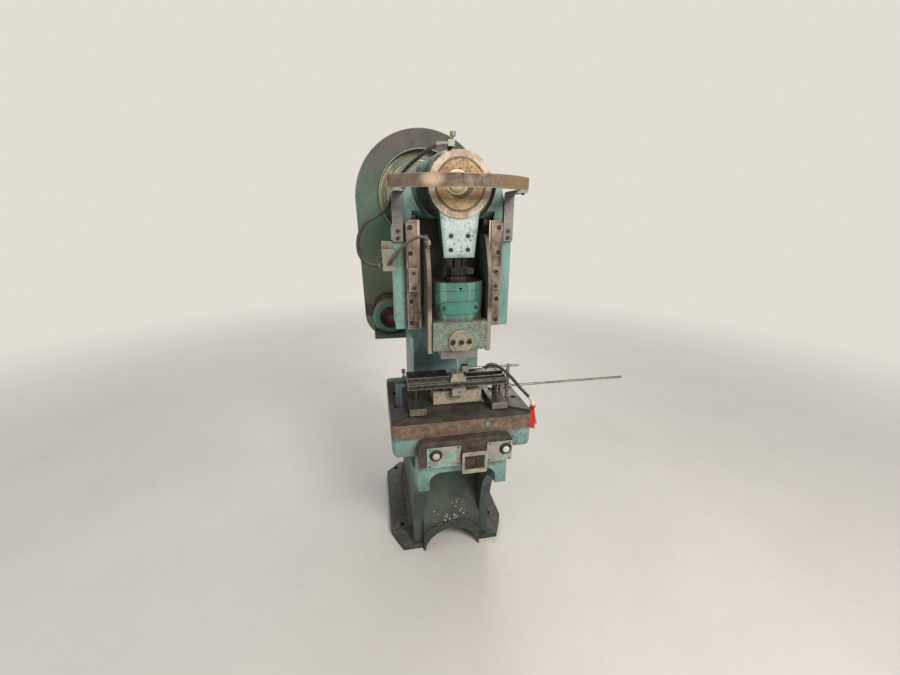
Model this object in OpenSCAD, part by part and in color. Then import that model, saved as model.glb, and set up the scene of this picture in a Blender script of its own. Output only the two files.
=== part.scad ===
/* [Frame] */
// Height of the crank axis above the floor
crank_z = 1734; // [1700:1:1780]
// Half width of the column
column_half_w = 156; // [150:1:164]
// Half width of the head behind the guide cheeks
head_half_w = 205; // [202:1:215]
// Half width across the guide cheeks
cheek_half_w = 240; // [238:1:255]
// Front face of the head, behind the ram's axis
head_front = 75; // [70:1:85]
// Depth of the guide cheeks from front to back
cheek_depth = 185; // [175:1:210]
// Front face of the column in the throat
column_front = 234; // [230:1:260]
// Back face of the casting
column_back = 660; // [620:1:700]
// Height of the head from its underside to the crank axis
head_drop = 577; // [560:1:590]
// Height of the flare from the column to the head
flare_h = 97; // [80:1:120]
// Radius of the throat's lower fillet
throat_r = 60; // [40:1:62]
// Radius of the throat's upper fillet
throat_top_r = 44; // [30:1:46]

/* [Crank recess] */
// Radius of the round recess in the head's front
recess_r = 169; // [162:1:174]
// Depth of the wide part of the recess
recess_depth = 35; // [30:1:45]
// Radius of the machined seat in the recess
seat_r = 148; // [140:1:155]
// Depth of the machined seat
seat_depth = 25; // [20:1:30]
// Radius of the bearing boss
boss_r = 122; // [100:1:126]
// Length of the bearing boss behind the casting
boss_out = 25; // [15:1:40]

/* [Ram guide] */
// Half width of the wide part of the ram channel
way_half_w = 166; // [162:1:170]
// Depth of the wide part of the ram channel
way_depth = 38; // [34:1:44]
// Half width of the deep part of the ram channel
channel_half_w = 132; // [130:1:136]
// Depth of the ram channel
channel_depth = 110; // [105:1:125]
// Top of the ram channel below the crank axis
channel_drop = 134; // [125:1:140]
// Running clearance between the ram's flanges and the guides
way_gap = 0.1; // [0.05:0.01:0.15]
// Thickness of the gib plates
gib_t = 29; // [24:1:32]
// Width of the gib plates
gib_w = 54; // [50:1:58]
// Inner edge of the gib plates
gib_in = 140; // [136:1:142]
// Length of the gib plates
gib_len = 430; // [420:1:436]

/* [Bed] */
// Top of the bed
bed_top = 837; // [820:1:850]
// Height of the bed
bed_h = 137; // [120:1:150]
// Half width of the bed
bed_half_w = 286; // [280:1:300]
// Front face of the bed, ahead of the ram's axis
bed_reach = 161; // [155:1:175]
// Radius of the bed's upright corners
bed_corner_r = 26; // [20:1:40]
// Radius of the bed's lower edge at the sides
bed_edge_r = 25; // [15:1:35]
// Thickness of the bolster plate
bolster_t = 30; // [26:1:40]
// Height of the bolster plate above the bed
bolster_up = 8; // [5:1:12]
// Distance of the bolster's bolts from the plate's ends
bolster_bolt_in = 31; // [24:1:41]
// Distance between the bolster's front and rear bolts
bolster_bolt_pitch = 130; // [110:1:140]
// Radius of the bolster bolts' heads
bolster_head_r = 13; // [10:1:15]

/* [Base] */
// Inner face of the base walls
wall_in = 141; // [136:1:146]
// Outer face of the base walls
wall_out = 188; // [180:1:196]
// Height of the base's front plate
front_plate_h = 180; // [160:1:200]
// Thickness of the base's front plate
front_plate_t = 28; // [22:1:36]
// Height of the plain band above the window in the front plate
window_drop = 100; // [80:1:120]
// Rise of the arch at the floor
arch_h = 118; // [100:1:126]
// Width of the raised rim around the arch
arch_rim = 44; // [30:1:50]
// Thickness of the foot flange
foot_t = 28; // [22:1:36]
// Half width of the foot flange
foot_half_w = 298; // [290:1:310]
// Place of the anchor holes from the centre plane
anchor_x = 238; // [230:1:250]
// Front anchor holes behind the ram's axis
anchor_y = 226; // [200:1:240]
// Distance between front and rear anchor holes
anchor_pitch = 500; // [480:1:510]
// Radius of the anchor holes
anchor_r = 12; // [8:1:14]

/* [Crank] */
// Distance from the crank axis to the eccentric bush's centre, half the stroke
throw = 18; // [12:1:18]
// Radius of the main journals
journal_r = 62; // [55:1:66]
// Running clearance of the bearings
run_gap = 0.06; // [0.03:0.01:0.1]
// Wall of the bearing bushes
bush_wall = 16; // [12:1:20]
// Length of each bearing bush
bush_len = 140; // [120:1:160]
// Radius of the crank web
web_r = 112; // [105:1:114]
// Thickness of the crank web
web_t = 64; // [56:1:66]
// Radius of the crank pin
pin_r = 46; // [42:1:50]
// Radius of the eccentric bush
ecc_r = 91; // [86:1:94]
// Radius of the shaft where the flywheel turns
tail_r = 45; // [40:1:50]

/* [Connecting rod] */
// Outer radius of the rod's big end
big_r = 117; // [112:1:120]
// Length of the big end along the shaft
big_len = 72; // [68:1:74]
// Front face of the big end, ahead of the ram's axis
big_front = 34; // [30:1:38]
// Thickness of the rod's body
rod_t = 62; // [56:1:64]
// Distance from the big end's centre to the rod's lower face
rod_len = 259; // [250:1:265]
// Half width of the rod at its lower face
rod_foot_half_w = 58.5; // [54:0.5:62]
// Half width of the rod under the big end
rod_neck_half_w = 74; // [70:1:78]
// Radius of the adjusting screw
screw_r = 20; // [18:1:22]
// Length of the adjusting screw inside the rod
screw_in = 90; // [70:1:110]
// Distance from the rod's lower face to the ram's top face
ram_gap = 92; // [88:1:98]
// Radius of the screw's ball end
ball_r = 30; // [28:1:31]
// Radius of the lock collar
collar_r = 42; // [38:1:44]
// Height of the lock collar
collar_h = 28; // [24:1:32]

/* [Ram] */
// Height of the ram's body
ram_h = 265; // [255:1:275]
// Half width of the ram's upper body
ram_half_w = 100; // [96:1:103]
// Half width of the ram's lower body
ram_foot_half_w = 109; // [106:1:110]
// Height of the ram's lower body
ram_foot_h = 113; // [105:1:118]
// Front face of the ram's lower body, ahead of the ram's axis
ram_reach = 70; // [66:1:74]
// Depth of the ram behind its axis
ram_back = 150; // [140:1:170]
// Inner face of the ram's side plates
side_in = 111; // [111:1:113]
// Thickness of the ram's side plates
side_t = 16; // [14:1:17]
// Front edge of the ram's side plates, ahead of the ram's axis
side_reach = 58; // [54:1:62]
// Height of the side plates above the ram's top face
ear_h = 175; // [165:1:185]
// Radius of the ram's round front
ram_front_r = 125; // [120:1:130]
// Height of the oval cover on the ram's front
cover_h = 47; // [40:1:50]
// Half width of the oval cover
cover_half_w = 78; // [72:1:82]
// Radius of the shank clamp
clamp_r = 48; // [44:1:52]
// Outer radius of the retaining ring
ring_r = 51; // [51:1:56]
// Height of the retaining ring
ring_h = 22; // [20:1:26]

/* [Flywheel and guard] */
// Radius of the flywheel
wheel_r = 355; // [340:1:360]
// Width of the flywheel's rim
wheel_w = 120; // [110:1:125]
// Front face of the belt guard, behind the ram's axis
guard_front = 1050; // [1030:1:1070]
// Depth of the belt guard
guard_depth = 200; // [190:1:220]
// Room between the flywheel and the belt guard
guard_room = 50; // [45:1:65]
// Drop of the guard's centre below the crank axis
guard_drop = 28; // [20:1:32]
// Radius of the round opening in the guard's front
opening_r = 265; // [250:1:272]
// Length of the folded lip around the opening
lip_len = 20; // [10:1:24]
// Radius of the guard's lower lobe
lobe_r = 150; // [140:1:160]
// Sheet thickness of the guard
sheet_t = 4; // [3:0.5:5]
// Radius of the brake drum
drum_r = 148; // [130:1:155]
// Radius of the clutch housing
clutch_r = 128; // [110:1:135]

/* [Motor] */
// Motor axis to the left of the centre plane
motor_x = 234; // [228:1:250]
// Height of the motor axis
motor_z = 1054; // [1040:1:1065]
// Radius of the motor's fan cowl
cowl_r = 100; // [96:1:106]
// Radius of the motor's body under the fins
body_r = 84; // [78:1:88]
// Front face of the fan cowl, behind the ram's axis
cowl_front = 700; // [690:1:715]
// Length of the fan cowl
cowl_len = 55; // [45:1:65]
// Length of the motor's body
body_len = 255; // [240:1:265]
// Outer radius of the motor pulley
pulley_r = 70; // [66:1:74]
// Radius of the motor shaft
rotor_r = 19; // [16:1:22]
// Number of cooling fins on the motor
fin_count = 36; // [24:2:44]
// Number of belts
belt_count = 3; // [2:1:3]

/* [Controls] */
// Left end of the control box from the centre plane
box_left = 187; // [180:1:195]
// Right end of the control box from the centre plane
box_right = 190; // [180:1:195]
// Height of the control box
box_h = 112; // [104:1:120]
// Depth of the control box
box_depth = 44; // [38:1:50]
// Width of the switch box
switch_w = 100; // [94:1:108]
// Height of the switch box
switch_h = 94; // [86:1:100]
// Depth of the switch box
switch_depth = 18; // [14:1:24]
// Radius of the palm buttons
palm_r = 14; // [12:1:16]
// Travel of the palm buttons
palm_travel = 5; // [3:1:6]
// Travel of the start and stop buttons
key_travel = 3; // [2:1:4]

/* [Arc bar and posts] */
// Height of the arc bar above the floor
bar_z = 1700; // [1690:1:1710]
// Height of the arc bar's section
bar_h = 45; // [40:1:50]
// Thickness of the arc bar
bar_t = 12; // [10:1:14]
// Half width of the arc bar
bar_half_w = 255; // [250:1:262]
// Reach of the arc bar ahead of the ram's axis
bar_reach = 147; // [135:1:160]
// Width of the bar's posts
post_w = 40; // [36:1:42]
// Thickness of the bar's posts
post_t = 10; // [8:1:12]
// Length of the posts below the bar
post_len = 189; // [184:1:200]

/* [Tooling] */
// Height of the two strips on the bolster
strip_h = 28; // [24:1:34]
// Width of the strips
strip_w = 66; // [58:1:70]
// Length of the studs between strip and die bed
stud_len = 55; // [50:1:62]
// Radius of the studs
stud_r = 11; // [9:1:13]
// Thickness of the die bed
die_bed_t = 27; // [24:1:32]
// Distance of the die bed's ends from the ends of the bolster
die_bed_in = 76; // [68:1:86]
// Thickness of the guide plates on the die bed
guide_t = 20; // [16:1:24]
// Height of the die block above the die bed
die_block_h = 33; // [28:1:38]
// Height of the dusty base block
base_block_h = 55; // [50:1:60]
// Thickness of the punch holder
holder_t = 40; // [36:1:44]
// Radius of the punch
punch_r = 3.5; // [3:0.5:5]
// Depth to which the punch enters the die at the lowest point
punch_entry = 4; // [2:1:8]
// Radius of the long stop rod
stop_rod_r = 5; // [4:0.5:6]

/* [Hidden] */
$fn = 96;
pin_gap = 0.05;
seat_gap = 0.3;
arch_z = crank_z - 94;
cheek_top = crank_z - 174;
head_bottom = crank_z - head_drop;
cheek_back = head_front + cheek_depth;
flare_z = head_bottom - flare_h;
recess_floor = head_front + recess_depth + seat_depth;
boss_end = column_back + boss_out;
channel_top = crank_z - channel_drop;
bearing_r = journal_r + bush_wall;
bed_bottom = bed_top - bed_h;
bed_back = column_front + 86;
bolster_top = bed_top + bolster_up;
bolster_seat = bolster_top - bolster_t;
bolster_back = column_front - throat_r - 4;
bolster_bolt_x = bed_half_w - bolster_bolt_in;
bolster_bolt_y = -8;
front_y = -150;
chute_foot = 62;
arch_half_w = wall_in - 5;
arch_circle_r = (arch_half_w * arch_half_w + arch_h * arch_h) / (2 * arch_h);
arch_cz = arch_h - arch_circle_r;
ecc_z = crank_z - throw;
pin_x = -12;
pin_z = crank_z - 10;
web_front = recess_floor - 8 - web_t;
rod_bottom = ecc_z - rod_len;
rod_front = -(big_front - 6);
ram_top = rod_bottom - ram_gap;
ram_bottom = ram_top - ram_h;
ram_step = ram_bottom + ram_foot_h;
ball_z = ram_top - 34;
well_r = ball_r + throw + 1;
ball_float = 4.2;
flange_y0 = head_front + way_gap;
flange_y1 = head_front + way_depth - way_gap;
ear_top = ram_top + ear_h;
cover_z = ram_step + 55;
clamp_z = ram_bottom + 37;
gib_bottom = head_bottom + 6;
gib_front = head_front - gib_t;
gib_screw_x = gib_in + gib_w - 16;
gib_screw_z = [26, 115, 305, 402];
stop_z = gib_bottom + 158;
stop_h = 92;
stop_t = 16;
post_in = head_half_w - 2;
post_front = head_front - post_t;
post_screw_z = [14, 41];
bar_end_y = -28;
bar_sag = bar_reach + bar_end_y;
bar_r = (bar_half_w * bar_half_w + bar_sag * bar_sag) / (2 * bar_sag);
bar_cy = bar_r - bar_reach;
flange_reach = 72;
guard_r = wheel_r + guard_room;
wheel_front = guard_front + 28;
wheel_back = wheel_front + wheel_w;
guard_z = crank_z - guard_drop;
lobe_z = motor_z - 64;
guard_back = guard_front + guard_depth;
bracket_x = 141;
bracket_z = crank_z - 319;
belt_pitch = 22;
belt_w = 12.6;
belt_h = 8;
belt_y = wheel_front + 38;
groove_d = 13;
motor_back = cowl_front + cowl_len + body_len;
shelf_z = motor_z - cowl_r - 10;
box_front = -(bed_reach + box_depth);
box_bottom = bed_bottom - 36;
switch_x = 30;
switch_front = box_front - switch_depth;
switch_z = bed_bottom - 64;
palm_x = [-122, 160];
palm_z = box_bottom + 57;
key_x = [-20, 22];
key_z = switch_z + 50;
die_bed_half = bed_half_w - die_bed_in;
strip_top = bolster_top + strip_h;
die_bed_z = strip_top + stud_len;
die_bed_top = die_bed_z + die_bed_t;
die_block_top = die_bed_top + die_block_h;
strip_x = [34 - die_bed_half, die_bed_half - 46];
stud_y = -22;
punch_y = -20;
punch_len = ram_bottom - holder_t - die_block_top + punch_entry;
stop_rod_z = bolster_top + 45;
stop_rod_y = 16;
stop_rod_start = strip_x[1] + 8;
stop_rod_end = bed_half_w + 514;
stop_bracket_x = strip_x[1] + strip_w / 2 + 1;
cross_post_x = bed_half_w - 64;
cross_y = -3;
cross_rod_z = die_bed_top + guide_t + 18;
block_x = cheek_half_w;
block_w = 46;
block_rise = 248;
block_h = 107;
block_z = head_bottom + block_rise;
block_back = head_front + 70;
block_screw_y = head_front + 50;
block_screw_z = [block_z + 36, block_z + 106];
lube_points = [[-50, -46, 1847], [-85, -44, 1843], [-123, -36, 1822], [-159, 2, 1796], [-186, 56, 1774], [-214, 98, 1733],
    [-238, 104, 1680], [-262, 84, 1632], [-304, 56, 1606], [-346, 50, 1577], [-372, 50, 1528], [-373, 50, 1472],
    [-350, 50, 1436], [-318, 50, 1424], [-300, 50, 1424], [-286.4, 50, 1424]];
lube_r = 6.5;
ram_hose_points = [[-256, 19.6, 1438], [-256, 10, 1438], [-256, -1, 1442], [-246, -12, 1458], [-222, -22, 1490], [-190, -28, 1517],
    [-158, -30, 1532], [-132, -30, 1532], [-118, -30, 1520], [-115, -30, 1504]];
ram_hose_r = 6;
blow_points = [[302, -120, 856.5], [302, -120, 863], [301, -117, 870], [295, -101, 881], [284, -74, 892], [264, -57, 914], [240, -46, 943], [212, -38, 973],
    [180, -33, 1000], [150, -30, 1014], [129, -28, 1010], [119, -28, 996]];
blow_r = 7;

// An outline drawn in X and Z, made solid from y0 to y1
module slab(y0, y1) {
    translate([0, y1, 0]) rotate([90, 0, 0]) linear_extrude(y1 - y0) children();
}

// An outline drawn in Y and Z, made solid from x0 to x1
module plate_x(x0, x1) {
    translate([x0, 0, 0]) rotate([90, 0, 90]) linear_extrude(x1 - x0) children();
}

module block(x0, x1, y0, y1, z0, z1) {
    translate([x0, y0, z0]) cube([x1 - x0, y1 - y0, z1 - z0]);
}

module rod_x(r, x0, x1, y, z) {
    translate([x0, y, z]) rotate([0, 90, 0]) cylinder(r = r, h = x1 - x0);
}

module rod_y(r, y0, y1, x, z) {
    translate([x, y1, z]) rotate([90, 0, 0]) cylinder(r = r, h = y1 - y0);
}

module rod_z(r, z0, z1, x, y) {
    translate([x, y, z0]) cylinder(r = r, h = z1 - z0);
}

module both_sides() {
    children();
    mirror([1, 0, 0]) children();
}

// A rectangle with round corners
module round_box(x0, x1, y0, y1, r) {
    translate([x0 + r, y0 + r]) offset(r = r, $fn = 40) square([x1 - x0 - 2 * r, y1 - y0 - 2 * r]);
}

// A revolved piece whose axis runs along Y: the outline's second coordinate is the place along the axis
module turned_y(x, z) {
    translate([x, 0, z]) rotate([-90, 0, 0]) rotate_extrude() children();
}

// A screw along Y with a socket head in front of its seat and a shank behind it
module cap_screw(x, z, seat, head_r, head_h, shank_r, length) {
    difference() {
        union() {
            rod_y(head_r, seat - head_h, seat, x, z);
            rod_y(shank_r, seat - head_h / 2, seat + length, x, z);
        }
        translate([x, seat - head_h * 0.4, z]) rotate([90, 0, 0]) cylinder(r = head_r * 0.52, h = head_h, $fn = 6);
    }
}

// A hexagon-headed screw along Y
module hex_screw(x, z, seat, head_r, head_h, shank_r, length) {
    translate([x, seat, z]) rotate([90, 0, 0]) cylinder(r = head_r, h = head_h, $fn = 6);
    rod_y(shank_r, seat - head_h / 2, seat + length, x, z);
}

// The hole that a screw's shank fills
module shank_hole(x, z, y0, y1, shank_r) {
    rod_y(shank_r + pin_gap, y0, y1, x, z);
}

function unit(v) = v / norm(v);
function bend(a, b, c, n) = [for (i = [0 : n]) let (t = i / n) (1 - t) * (1 - t) * a + 2 * t * (1 - t) * b + t * t * c];
function spline_point(p, i, t) = let (n = len(p) - 1, a = p[max(i - 1, 0)], b = p[i], c = p[min(i + 1, n)],
    d = p[min(i + 2, n)]) 0.5 * (2 * b + (c - a) * t + (2 * a - 5 * b + 4 * c - d) * t * t
    + (3 * b - a - 3 * c + d) * t * t * t);
function spline(p, steps) = concat([for (i = [0 : len(p) - 2]) for (s = [0 : steps - 1]) spline_point(p, i, s / steps)],
    [p[len(p) - 1]]);
function heading(p, i) = unit(p[min(i + 1, len(p) - 1)] - p[max(i - 1, 0)]);
function ring_sides(p, i, side) = i >= len(p) ? [] : let (t = heading(p, i), s = unit(side - (side * t) * t))
    concat([s], ring_sides(p, i + 1, s));

// A tube swept along a route
module tube(p, r, n) {
    sides = ring_sides(p, 0, unit(cross(heading(p, 0), [0.3, 0.2, 1])));
    rings = [for (i = [0 : len(p) - 1]) let (s = sides[i], b = cross(heading(p, i), s))
        for (k = [0 : n - 1]) p[i] + r * (cos(360 * k / n) * s + sin(360 * k / n) * b)];
    skin = [for (i = [0 : len(p) - 2]) for (k = [0 : n - 1]) for (half = [0, 1]) let (k2 = (k + 1) % n)
        half == 0 ? [i * n + k, (i + 1) * n + k, (i + 1) * n + k2] : [i * n + k, (i + 1) * n + k2, i * n + k2]];
    first_end = [[for (k = [0 : n - 1]) k]];
    last_end = [[for (k = [n - 1 : -1 : 0]) (len(p) - 1) * n + k]];
    polyhedron(rings, concat(skin, first_end, last_end));
}

// Front outline of the head with its guide cheeks
module cheek_outline() {
    polygon([[-cheek_half_w, head_bottom], [cheek_half_w, head_bottom], [cheek_half_w, cheek_top],
        [head_half_w, arch_z], [-head_half_w, arch_z], [-cheek_half_w, cheek_top]]);
    translate([0, arch_z]) circle(head_half_w);
}

// Front outline of the column, its flare and the head behind the cheeks
module column_outline() {
    polygon([[-column_half_w, 0], [column_half_w, 0], [column_half_w, flare_z], [head_half_w, head_bottom],
        [head_half_w, arch_z], [-head_half_w, arch_z], [-head_half_w, head_bottom], [-column_half_w, flare_z]]);
    translate([0, arch_z]) circle(head_half_w);
}

module throat_fillets() {
    plate_x(-column_half_w, column_half_w) difference() {
        translate([column_front - throat_r, bed_top - 1]) square([throat_r + 1, throat_r + 1]);
        translate([column_front - throat_r, bed_top + throat_r]) circle(throat_r);
    }
    plate_x(-column_half_w, column_half_w) difference() {
        translate([column_front - throat_top_r, head_bottom - throat_top_r]) square([throat_top_r + 1, throat_top_r + 1]);
        translate([column_front - throat_top_r, head_bottom - throat_top_r]) circle(throat_top_r);
    }
}

module bed_body() {
    intersection() {
        slab(-bed_reach, bed_back) {
            round_box(-bed_half_w, bed_half_w, bed_bottom, bed_top, bed_edge_r);
            translate([-bed_half_w, bed_top - bed_h / 2]) square([2 * bed_half_w, bed_h / 2]);
        }
        translate([0, 0, bed_bottom - 1]) linear_extrude(bed_h + 2)
            round_box(-bed_half_w, bed_half_w, -bed_reach, bed_back, bed_corner_r);
    }
}

// Outline of the bolster plate seen from above, grown by a clearance
module bolster_outline(gap) {
    notch = 61 + gap;
    polygon([[-bed_half_w - gap, -135 - gap], [-notch, 5 - gap], [notch, 5 - gap], [bed_half_w + gap, -135 - gap],
        [bed_half_w + gap, bolster_back + gap], [-bed_half_w - gap, bolster_back + gap]]);
}

// Side profile of a base wall
module wall_outline() {
    plate_bottom = bed_bottom - front_plate_h;
    polygon(concat([[column_back, 0], [column_back, bed_bottom + 1], [front_y, bed_bottom + 1]],
        bend([front_y, plate_bottom], [20, plate_bottom - 20], [57, 277], 10), [[79, 164], [90, 0]]));
}

module base_front() {
    window_top = bed_bottom - window_drop;
    difference() {
        block(-wall_out, wall_out, front_y, front_y + front_plate_t, bed_bottom - front_plate_h, bed_bottom + 1);
        slab(front_y - 1, front_y + front_plate_t + 1) round_box(-wall_in, wall_in, window_top - 300, window_top, 50);
    }
}

// The curved web between the walls, down which the slugs slide, and the arch at its foot
module slug_chute() {
    color([0.47, 0.70, 0.65]) difference() {
        union() {
            plate_x(-wall_in, wall_in) polygon(concat(bend([column_front - 30, bed_bottom],
                [column_front - 50, 330], [chute_foot, arch_h + arch_rim], 12),
                [[chute_foot, 0], [column_front, 0], [column_front, bed_bottom]]));
            intersection() {
                slab(chute_foot - 8, chute_foot + 8) translate([0, arch_cz]) circle(arch_circle_r + arch_rim);
                block(-wall_in, wall_in, 50, 80, 0, crank_z);
            }
        }
        slab(40, 200) translate([0, arch_cz]) circle(arch_circle_r);
    }
}

module foot_flange() {
    linear_extrude(foot_t) polygon([[-242, 77], [242, 77], [284, 166], [foot_half_w, 200], [foot_half_w, 700],
        [210, 790], [-210, 790], [-foot_half_w, 700], [-foot_half_w, 200], [-284, 166]]);
    both_sides() plate_x(wall_out - 14, wall_out)
        polygon([[column_back - 1, 0], [column_back - 1, 260], [775, foot_t], [775, 0]]);
}

// Ribs that carry the bed's overhang to the base walls
module bed_ribs() {
    both_sides() slab(-40, -14)
        polygon([[wall_out - 1, bed_bottom + 1], [bed_half_w - 30, bed_bottom + 1], [wall_out - 1, bed_bottom - 150]]);
    both_sides() slab(180, 206)
        polygon([[wall_out - 1, bed_bottom + 1], [bed_half_w - 30, bed_bottom + 1], [wall_out - 1, bed_bottom - 150]]);
}

module ram_channel() {
    block(-way_half_w, way_half_w, head_front - 1, head_front + way_depth, head_bottom - 1, channel_top);
    block(-channel_half_w, channel_half_w, head_front - 1, head_front + channel_depth, head_bottom - 1, channel_top);
    plate_x(-way_half_w, way_half_w) polygon([[head_front - 1, channel_top - 1], [head_front + way_depth - 8, channel_top - 1],
        [head_front + way_depth - 8, channel_top], [head_front - 1, channel_top + 28]]);
}

module frame_casting() {
    color([0.47, 0.70, 0.65]) difference() {
        union() {
            slab(head_front, cheek_back) cheek_outline();
            slab(column_front, column_back) column_outline();
            throat_fillets();
            bed_body();
            both_sides() plate_x(wall_in, wall_out) wall_outline();
            base_front();
            foot_flange();
            bed_ribs();
            rod_y(boss_r, recess_floor - 20, boss_end, 0, crank_z);
        }
        rod_y(recess_r, head_front - 1, head_front + recess_depth, 0, crank_z);
        rod_y(seat_r, head_front, recess_floor, 0, crank_z);
        rod_y(bearing_r + pin_gap, head_front, boss_end + 1, 0, crank_z);
        ram_channel();
        block(-wall_in, wall_in, 70, column_front, -1, foot_t + 1);
        translate([0, 0, bolster_seat]) linear_extrude(bolster_t) bolster_outline(seat_gap);
        for (x = [-anchor_x, anchor_x], y = [anchor_y, anchor_y + anchor_pitch])
            rod_z(anchor_r, -1, foot_t + 1, x, y);
        for (x = [-bolster_bolt_x, bolster_bolt_x], y = [0, bolster_bolt_pitch])
            rod_z(8 + pin_gap, bolster_seat - 40, bolster_seat + 1, x, bolster_bolt_y + y);
        both_sides() for (z = gib_screw_z) shank_hole(gib_screw_x, gib_bottom + z, head_front - 1, head_front + 26, 5);
        both_sides() for (z = post_screw_z)
            shank_hole(post_in + post_w / 2, bar_z - post_len + z, head_front - 1, head_front + 21, 4);
        for (z = block_screw_z) rod_x(4 + pin_gap, -block_x - 1, -block_x + 21, block_screw_y, z);
        for (x = [-1, 1]) shank_hole(x * bracket_x, bracket_z, column_back - 25, column_back + 1, 6);
        for (x = [-110, -30], z = [-60, -20]) shank_hole(x, shelf_z + z, column_back - 25, column_back + 1, 6);
        for (x = [-box_left + 40, box_right - 40]) shank_hole(x, bed_bottom + 26, -bed_reach - 1, -bed_reach + 21, 4);
    }
}

module bolster_plate() {
    color([0.27, 0.25, 0.23]) difference() {
        translate([0, 0, bolster_seat]) linear_extrude(bolster_t) bolster_outline(0);
        for (x = [-bolster_bolt_x, bolster_bolt_x], y = [0, bolster_bolt_pitch]) {
            rod_z(8 + pin_gap, bolster_seat - 1, bolster_top + 1, x, bolster_bolt_y + y);
            rod_z(bolster_head_r + 1.5, bolster_top - 18, bolster_top + 1, x, bolster_bolt_y + y);
        }
        for (x = strip_x) rod_z(6 + pin_gap, bolster_top - 22, bolster_top + 1, x, 40);
    }
}

module bolster_bolts() {
    color([0.16, 0.15, 0.15]) for (x = [-bolster_bolt_x, bolster_bolt_x], y = [0, bolster_bolt_pitch]) difference() {
        union() {
            rod_z(bolster_head_r, bolster_top - 18, bolster_top - 4, x, bolster_bolt_y + y);
            rod_z(8, bolster_seat - 38, bolster_top - 10, x, bolster_bolt_y + y);
        }
        translate([x, bolster_bolt_y + y, bolster_top - 12]) cylinder(r = 7, h = 12, $fn = 6);
    }
}

// Front and rear bearing bushes of the crankshaft
module bearing_bushes() {
    color([0.72, 0.58, 0.30]) for (y = [recess_floor, boss_end - bush_len]) difference() {
        rod_y(bearing_r, y, y + bush_len, 0, crank_z);
        rod_y(journal_r + run_gap, y - 1, y + bush_len + 1, 0, crank_z);
    }
}

module gib() {
    difference() {
        slab(gib_front, head_front) polygon([[gib_in, gib_bottom], [gib_in + gib_w, gib_bottom],
            [gib_in + gib_w, gib_bottom + gib_len - 12], [gib_in + gib_w - 12, gib_bottom + gib_len],
            [gib_in, gib_bottom + gib_len]]);
        block(gib_in - 1, gib_in + 8, gib_front - 1, gib_front + 8, gib_bottom + 60, gib_bottom + gib_len + 1);
        for (z = gib_screw_z) {
            shank_hole(gib_screw_x, gib_bottom + z, gib_front - 1, head_front + 1, 5);
            rod_y(11, gib_front - 1, gib_front + 9, gib_screw_x, gib_bottom + z);
        }
        for (z = [14, stop_h - 19]) shank_hole(gib_screw_x - 10, stop_z + z, gib_front - 1, gib_front + 15, 3.5);
    }
}

module gib_left() { color([0.58, 0.38, 0.27]) mirror([1, 0, 0]) gib(); }
module gib_right() { color([0.58, 0.38, 0.27]) gib(); }

module knockout_stops() {
    color([0.55, 0.43, 0.34]) {
        both_sides() difference() {
            block(gib_screw_x - 26, gib_screw_x + 10, gib_front - stop_t, gib_front, stop_z, stop_z + stop_h);
            for (z = [14, stop_h - 19])
                shank_hole(gib_screw_x - 10, stop_z + z, gib_front - stop_t - 1, gib_front + 1, 3.5);
        }
        block(-gib_in - 26, -gib_in - 8, gib_front - 12, gib_front, gib_bottom + 36, gib_bottom + 68);
    }
}

// Screws of the gibs, stops, posts, arc bar, control box and lubricator
module head_screws() {
    color([0.18, 0.17, 0.17]) {
        both_sides() for (z = gib_screw_z) cap_screw(gib_screw_x, gib_bottom + z, gib_front + 9, 9, 8, 5, gib_t + 15);
        both_sides() for (z = [14, stop_h - 19])
            cap_screw(gib_screw_x - 10, stop_z + z, gib_front - stop_t, 6.5, 6, 3.5, stop_t + 13);
        both_sides() for (z = post_screw_z)
            hex_screw(post_in + post_w / 2, bar_z - post_len + z, post_front, 8, 6, 4, post_t + 19);
        both_sides() {
            rod_z(3, bar_z - post_t - 3, bar_z + 20, post_in + post_w - 11, bar_line_y(post_in + post_w - 11));
            translate([post_in + post_w - 11, bar_line_y(post_in + post_w - 11), bar_z - post_t - 6])
                cylinder(r = 6.5, h = 6, $fn = 6);
        }
        for (z = block_screw_z) {
            rod_x(4, -block_x - block_w - 3, -block_x + 19, block_screw_y, z);
            translate([-block_x - block_w - 5, block_screw_y, z]) rotate([0, 90, 0]) cylinder(r = 7, h = 5, $fn = 6);
        }
    }
}
function bar_line_y(x) = bar_cy - sqrt(bar_r * bar_r - x * x);

module post_profile() {
    r = post_t + 6;
    translate([post_front, bar_z - post_len]) square([post_t, post_len - r]);
    translate([-flange_reach, bar_z - post_t]) square([flange_reach + head_front - r, post_t]);
    intersection() {
        translate([head_front - r, bar_z - r]) difference() {
            circle(r);
            circle(r - post_t);
        }
        translate([head_front - r, bar_z - r]) square(r + 1);
    }
}

module guard_posts() {
    color([0.45, 0.44, 0.42]) both_sides() difference() {
        plate_x(post_in, post_in + post_w) post_profile();
        for (z = post_screw_z)
            shank_hole(post_in + post_w / 2, bar_z - post_len + z, post_front - 1, head_front + 1, 4);
        rod_z(3 + pin_gap, bar_z - post_t - 1, bar_z + 1, post_in + post_w - 11, bar_line_y(post_in + post_w - 11));
    }
}

module guard_bar() {
    color([0.40, 0.30, 0.23]) difference() {
        translate([0, bar_cy, bar_z]) difference() {
            cylinder(r = bar_r + bar_t / 2, h = bar_h, $fn = 180);
            translate([0, 0, -1]) cylinder(r = bar_r - bar_t / 2, h = bar_h + 2, $fn = 180);
        }
        block(-2 * bar_r, 2 * bar_r, bar_end_y, 3 * bar_r, bar_z - 1, bar_z + bar_h + 1);
        both_sides() rod_z(3 + pin_gap, bar_z - 1, bar_z + 21, post_in + post_w - 11, bar_line_y(post_in + post_w - 11));
    }
}

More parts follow.
